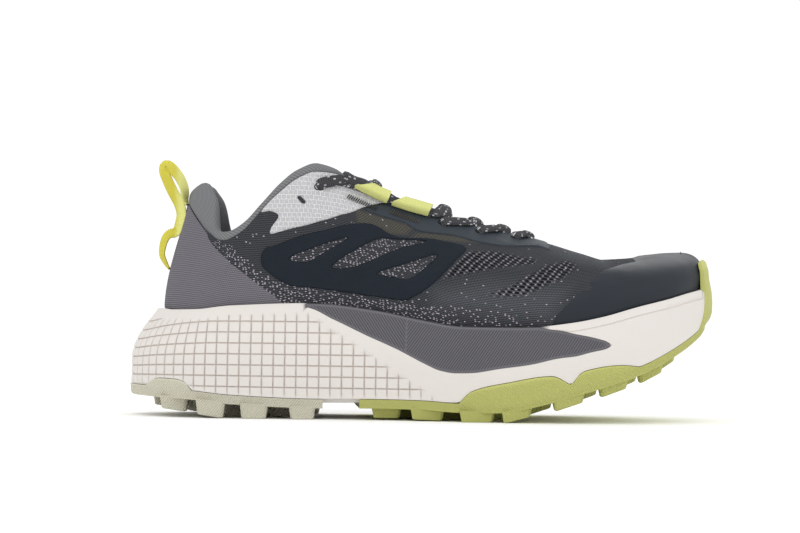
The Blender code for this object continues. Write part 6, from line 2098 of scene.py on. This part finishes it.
class ShoeSettings(bpy.types.PropertyGroup):
    """Colours and sizes of the shoe's looks."""

    foam_colour: colour_choice("Foam", "Colour of the midsole", (0.650, 0.618, 0.585))
    # Painted shade: this colour of the grooves between the pads stands for the shade in them.
    groove_shade_colour: colour_choice("Grooves", "Colour of the grooves between pads", (0.49, 0.43, 0.39))
    heel_rubber_colour: colour_choice("Heel rubber", "Colour of the heel outsole", (0.60, 0.575, 0.46))
    fore_rubber_colour: colour_choice("Forefoot rubber", "Colour of the forefoot outsole", (0.49, 0.5, 0.15))
    insert_colour: colour_choice("Side piece", "Colour of the ribbed side piece", (0.102, 0.099, 0.112))
    knit_colour: colour_choice("Knit", "Dark yarn of the upper", (0.032, 0.034, 0.038))
    warm_colour: colour_choice("Warm knit", "Brownish ribs of the upper", (0.060, 0.057, 0.049))
    fleck_colour: colour_choice("Flecks", "Pale yarn of the upper", (0.56, 0.50, 0.57))
    film_colour: colour_choice("Film", "Colour of the cage and toe cap", (0.014, 0.0185, 0.0255))
    eyestay_colour: colour_choice("Eyestay", "Colour of the eyestay", (0.041, 0.049, 0.059))
    ripstop_colour: colour_choice("Ripstop", "Colour of the quarter cloth", (0.50, 0.50, 0.515))
    heel_colour: colour_choice("Heel knit", "Colour of the heel", (0.140, 0.133, 0.152))
    collar_colour: colour_choice("Collar", "Colour of the collar and lining", (0.165, 0.168, 0.174))
    webbing_colour: colour_choice("Tunnels", "Colour of the lace tunnels", (0.64, 0.66, 0.235))
    strap_colour: colour_choice("Heel strap", "Colour of the heel strap", (0.68, 0.61, 0.07))
    strap_pale_colour: colour_choice("Strap back", "Colour of the heel strap's paler run", (0.80, 0.80, 0.26))
    lace_colour: colour_choice("Lace", "Dark yarn of the lace", (0.045, 0.046, 0.050))
    pad_width: length_choice("Pad width", "Width of one pad on the heel's side", 0.0053)
    groove_width: length_choice("Groove width", "Width of the grooves between pads", 0.0010)
    groove_depth: length_choice("Groove depth", "Depth of the grooves between pads", 0.0007)
    rib_pitch: length_choice("Rib pitch", "Distance between ribs", 0.0013)
    rib_height: length_choice("Rib height", "Height of the ribs of the side piece", 0.00030)
    film_thickness: length_choice("Film thickness", "Thickness of the welded films", 0.0007)
    strap_twist: FloatProperty(name="Strap twist", description="Turn of the heel strap about its run",
                               default=math.radians(34.0), subtype="ANGLE")
    world_light: FloatProperty(name="Studio fill", description="Strength of the even light", default=1.06,
                               min=0.0)


def settings():
    """Sizes and colours in use."""
    return bpy.context.scene.trail_shoe


class BuildSole(bpy.types.Operator):
    """Build the foam midsole with its ribbed side pieces"""

    bl_idname = "trail_shoe.sole"
    bl_label = "Midsole"

    def execute(self, context):
        build_foam()
        build_insert(0, "side_piece_lateral", "side_insert_lateral")
        build_insert(1, "side_piece_medial", "side_insert_medial")
        return {"FINISHED"}


class BuildOutsoles(bpy.types.Operator):
    """Build the two rubber outsoles with their lugs"""

    bl_idname = "trail_shoe.outsoles"
    bl_label = "Outsoles"

    def execute(self, context):
        s = context.scene.trail_shoe
        build_outsole("rubber_heel", "outsole_heel", 0.0, HEEL_PLATE_END, HEEL_LUGS,
                      rubber_material("cream_rubber", s.heel_rubber_colour, -0.8))
        build_outsole("rubber_forefoot", "outsole_forefoot", FORE_PLATE_START, 1.0, FORE_LUGS,
                      rubber_material("lime_rubber", s.fore_rubber_colour, 0.9))
        return {"FINISHED"}


class BuildUpper(bpy.types.Operator):
    """Build the knitted upper with the heel panel, toe cap and insole"""

    bl_idname = "trail_shoe.upper"
    bl_label = "Upper"

    def execute(self, context):
        build_upper()
        build_heel_panel()
        build_toe_cap()
        build_insole()
        return {"FINISHED"}


class BuildOverlays(bpy.types.Operator):
    """Build the welded films and the ripstop quarters"""

    bl_idname = "trail_shoe.overlays"
    bl_label = "Overlays"

    def execute(self, context):
        build_overlays()
        return {"FINISHED"}


class BuildPadding(bpy.types.Operator):
    """Build the padded collar and tongue"""

    bl_idname = "trail_shoe.padding"
    bl_label = "Collar and tongue"

    def execute(self, context):
        build_collar()
        build_tongue()
        return {"FINISHED"}


class BuildLacing(bpy.types.Operator):
    """Build the lace, its tunnels and eyelets, and the heel strap"""

    bl_idname = "trail_shoe.lacing"
    bl_label = "Lace and webbing"

    def execute(self, context):
        build_laces()
        build_tunnels()
        build_eyelets()
        build_pull_loop()
        return {"FINISHED"}


class BuildStitches(bpy.types.Operator):
    """Sew the bar tacks"""

    bl_idname = "trail_shoe.stitches"
    bl_label = "Stitches"

    def execute(self, context):
        build_stitches()
        return {"FINISHED"}


class BuildStage(bpy.types.Operator):
    """Set up the floor, lights and camera"""

    bl_idname = "trail_shoe.stage"
    bl_label = "Stage"

    def execute(self, context):
        build_stage()
        return {"FINISHED"}


class ShoePanel(bpy.types.Panel):
    """Panel of the shoe's sizes, colours and pieces"""

    bl_idname = "VIEW3D_PT_trail_shoe"
    bl_label = "Trail running shoe"
    bl_space_type = "VIEW_3D"
    bl_region_type = "UI"
    bl_category = "Shoe"

    def draw(self, context):
        for name in ShoeSettings.__annotations__:
            self.layout.prop(context.scene.trail_shoe, name)
        for operator in OPERATORS:
            self.layout.operator(operator.bl_idname)


OPERATORS = (BuildSole, BuildOutsoles, BuildUpper, BuildOverlays, BuildPadding, BuildLacing,
             BuildStitches, BuildStage)


def register():
    """Add the classes and the settings."""
    for item in (ShoeSettings, *OPERATORS, ShoePanel):
        bpy.utils.register_class(item)
    bpy.types.Scene.trail_shoe = PointerProperty(type=ShoeSettings)


def unregister():
    """Take the settings and the classes away."""
    del bpy.types.Scene.trail_shoe
    for item in (ShoePanel, *reversed(OPERATORS), ShoeSettings):
        bpy.utils.unregister_class(item)


def main():
    """Build every piece in order."""
    register()
    bpy.ops.trail_shoe.stage()
    bpy.ops.trail_shoe.sole()
    bpy.ops.trail_shoe.outsoles()
    bpy.ops.trail_shoe.upper()
    bpy.ops.trail_shoe.overlays()
    bpy.ops.trail_shoe.padding()
    bpy.ops.trail_shoe.lacing()
    bpy.ops.trail_shoe.stitches()


SKIN = Skin()

if __name__ == "__main__":
    main()
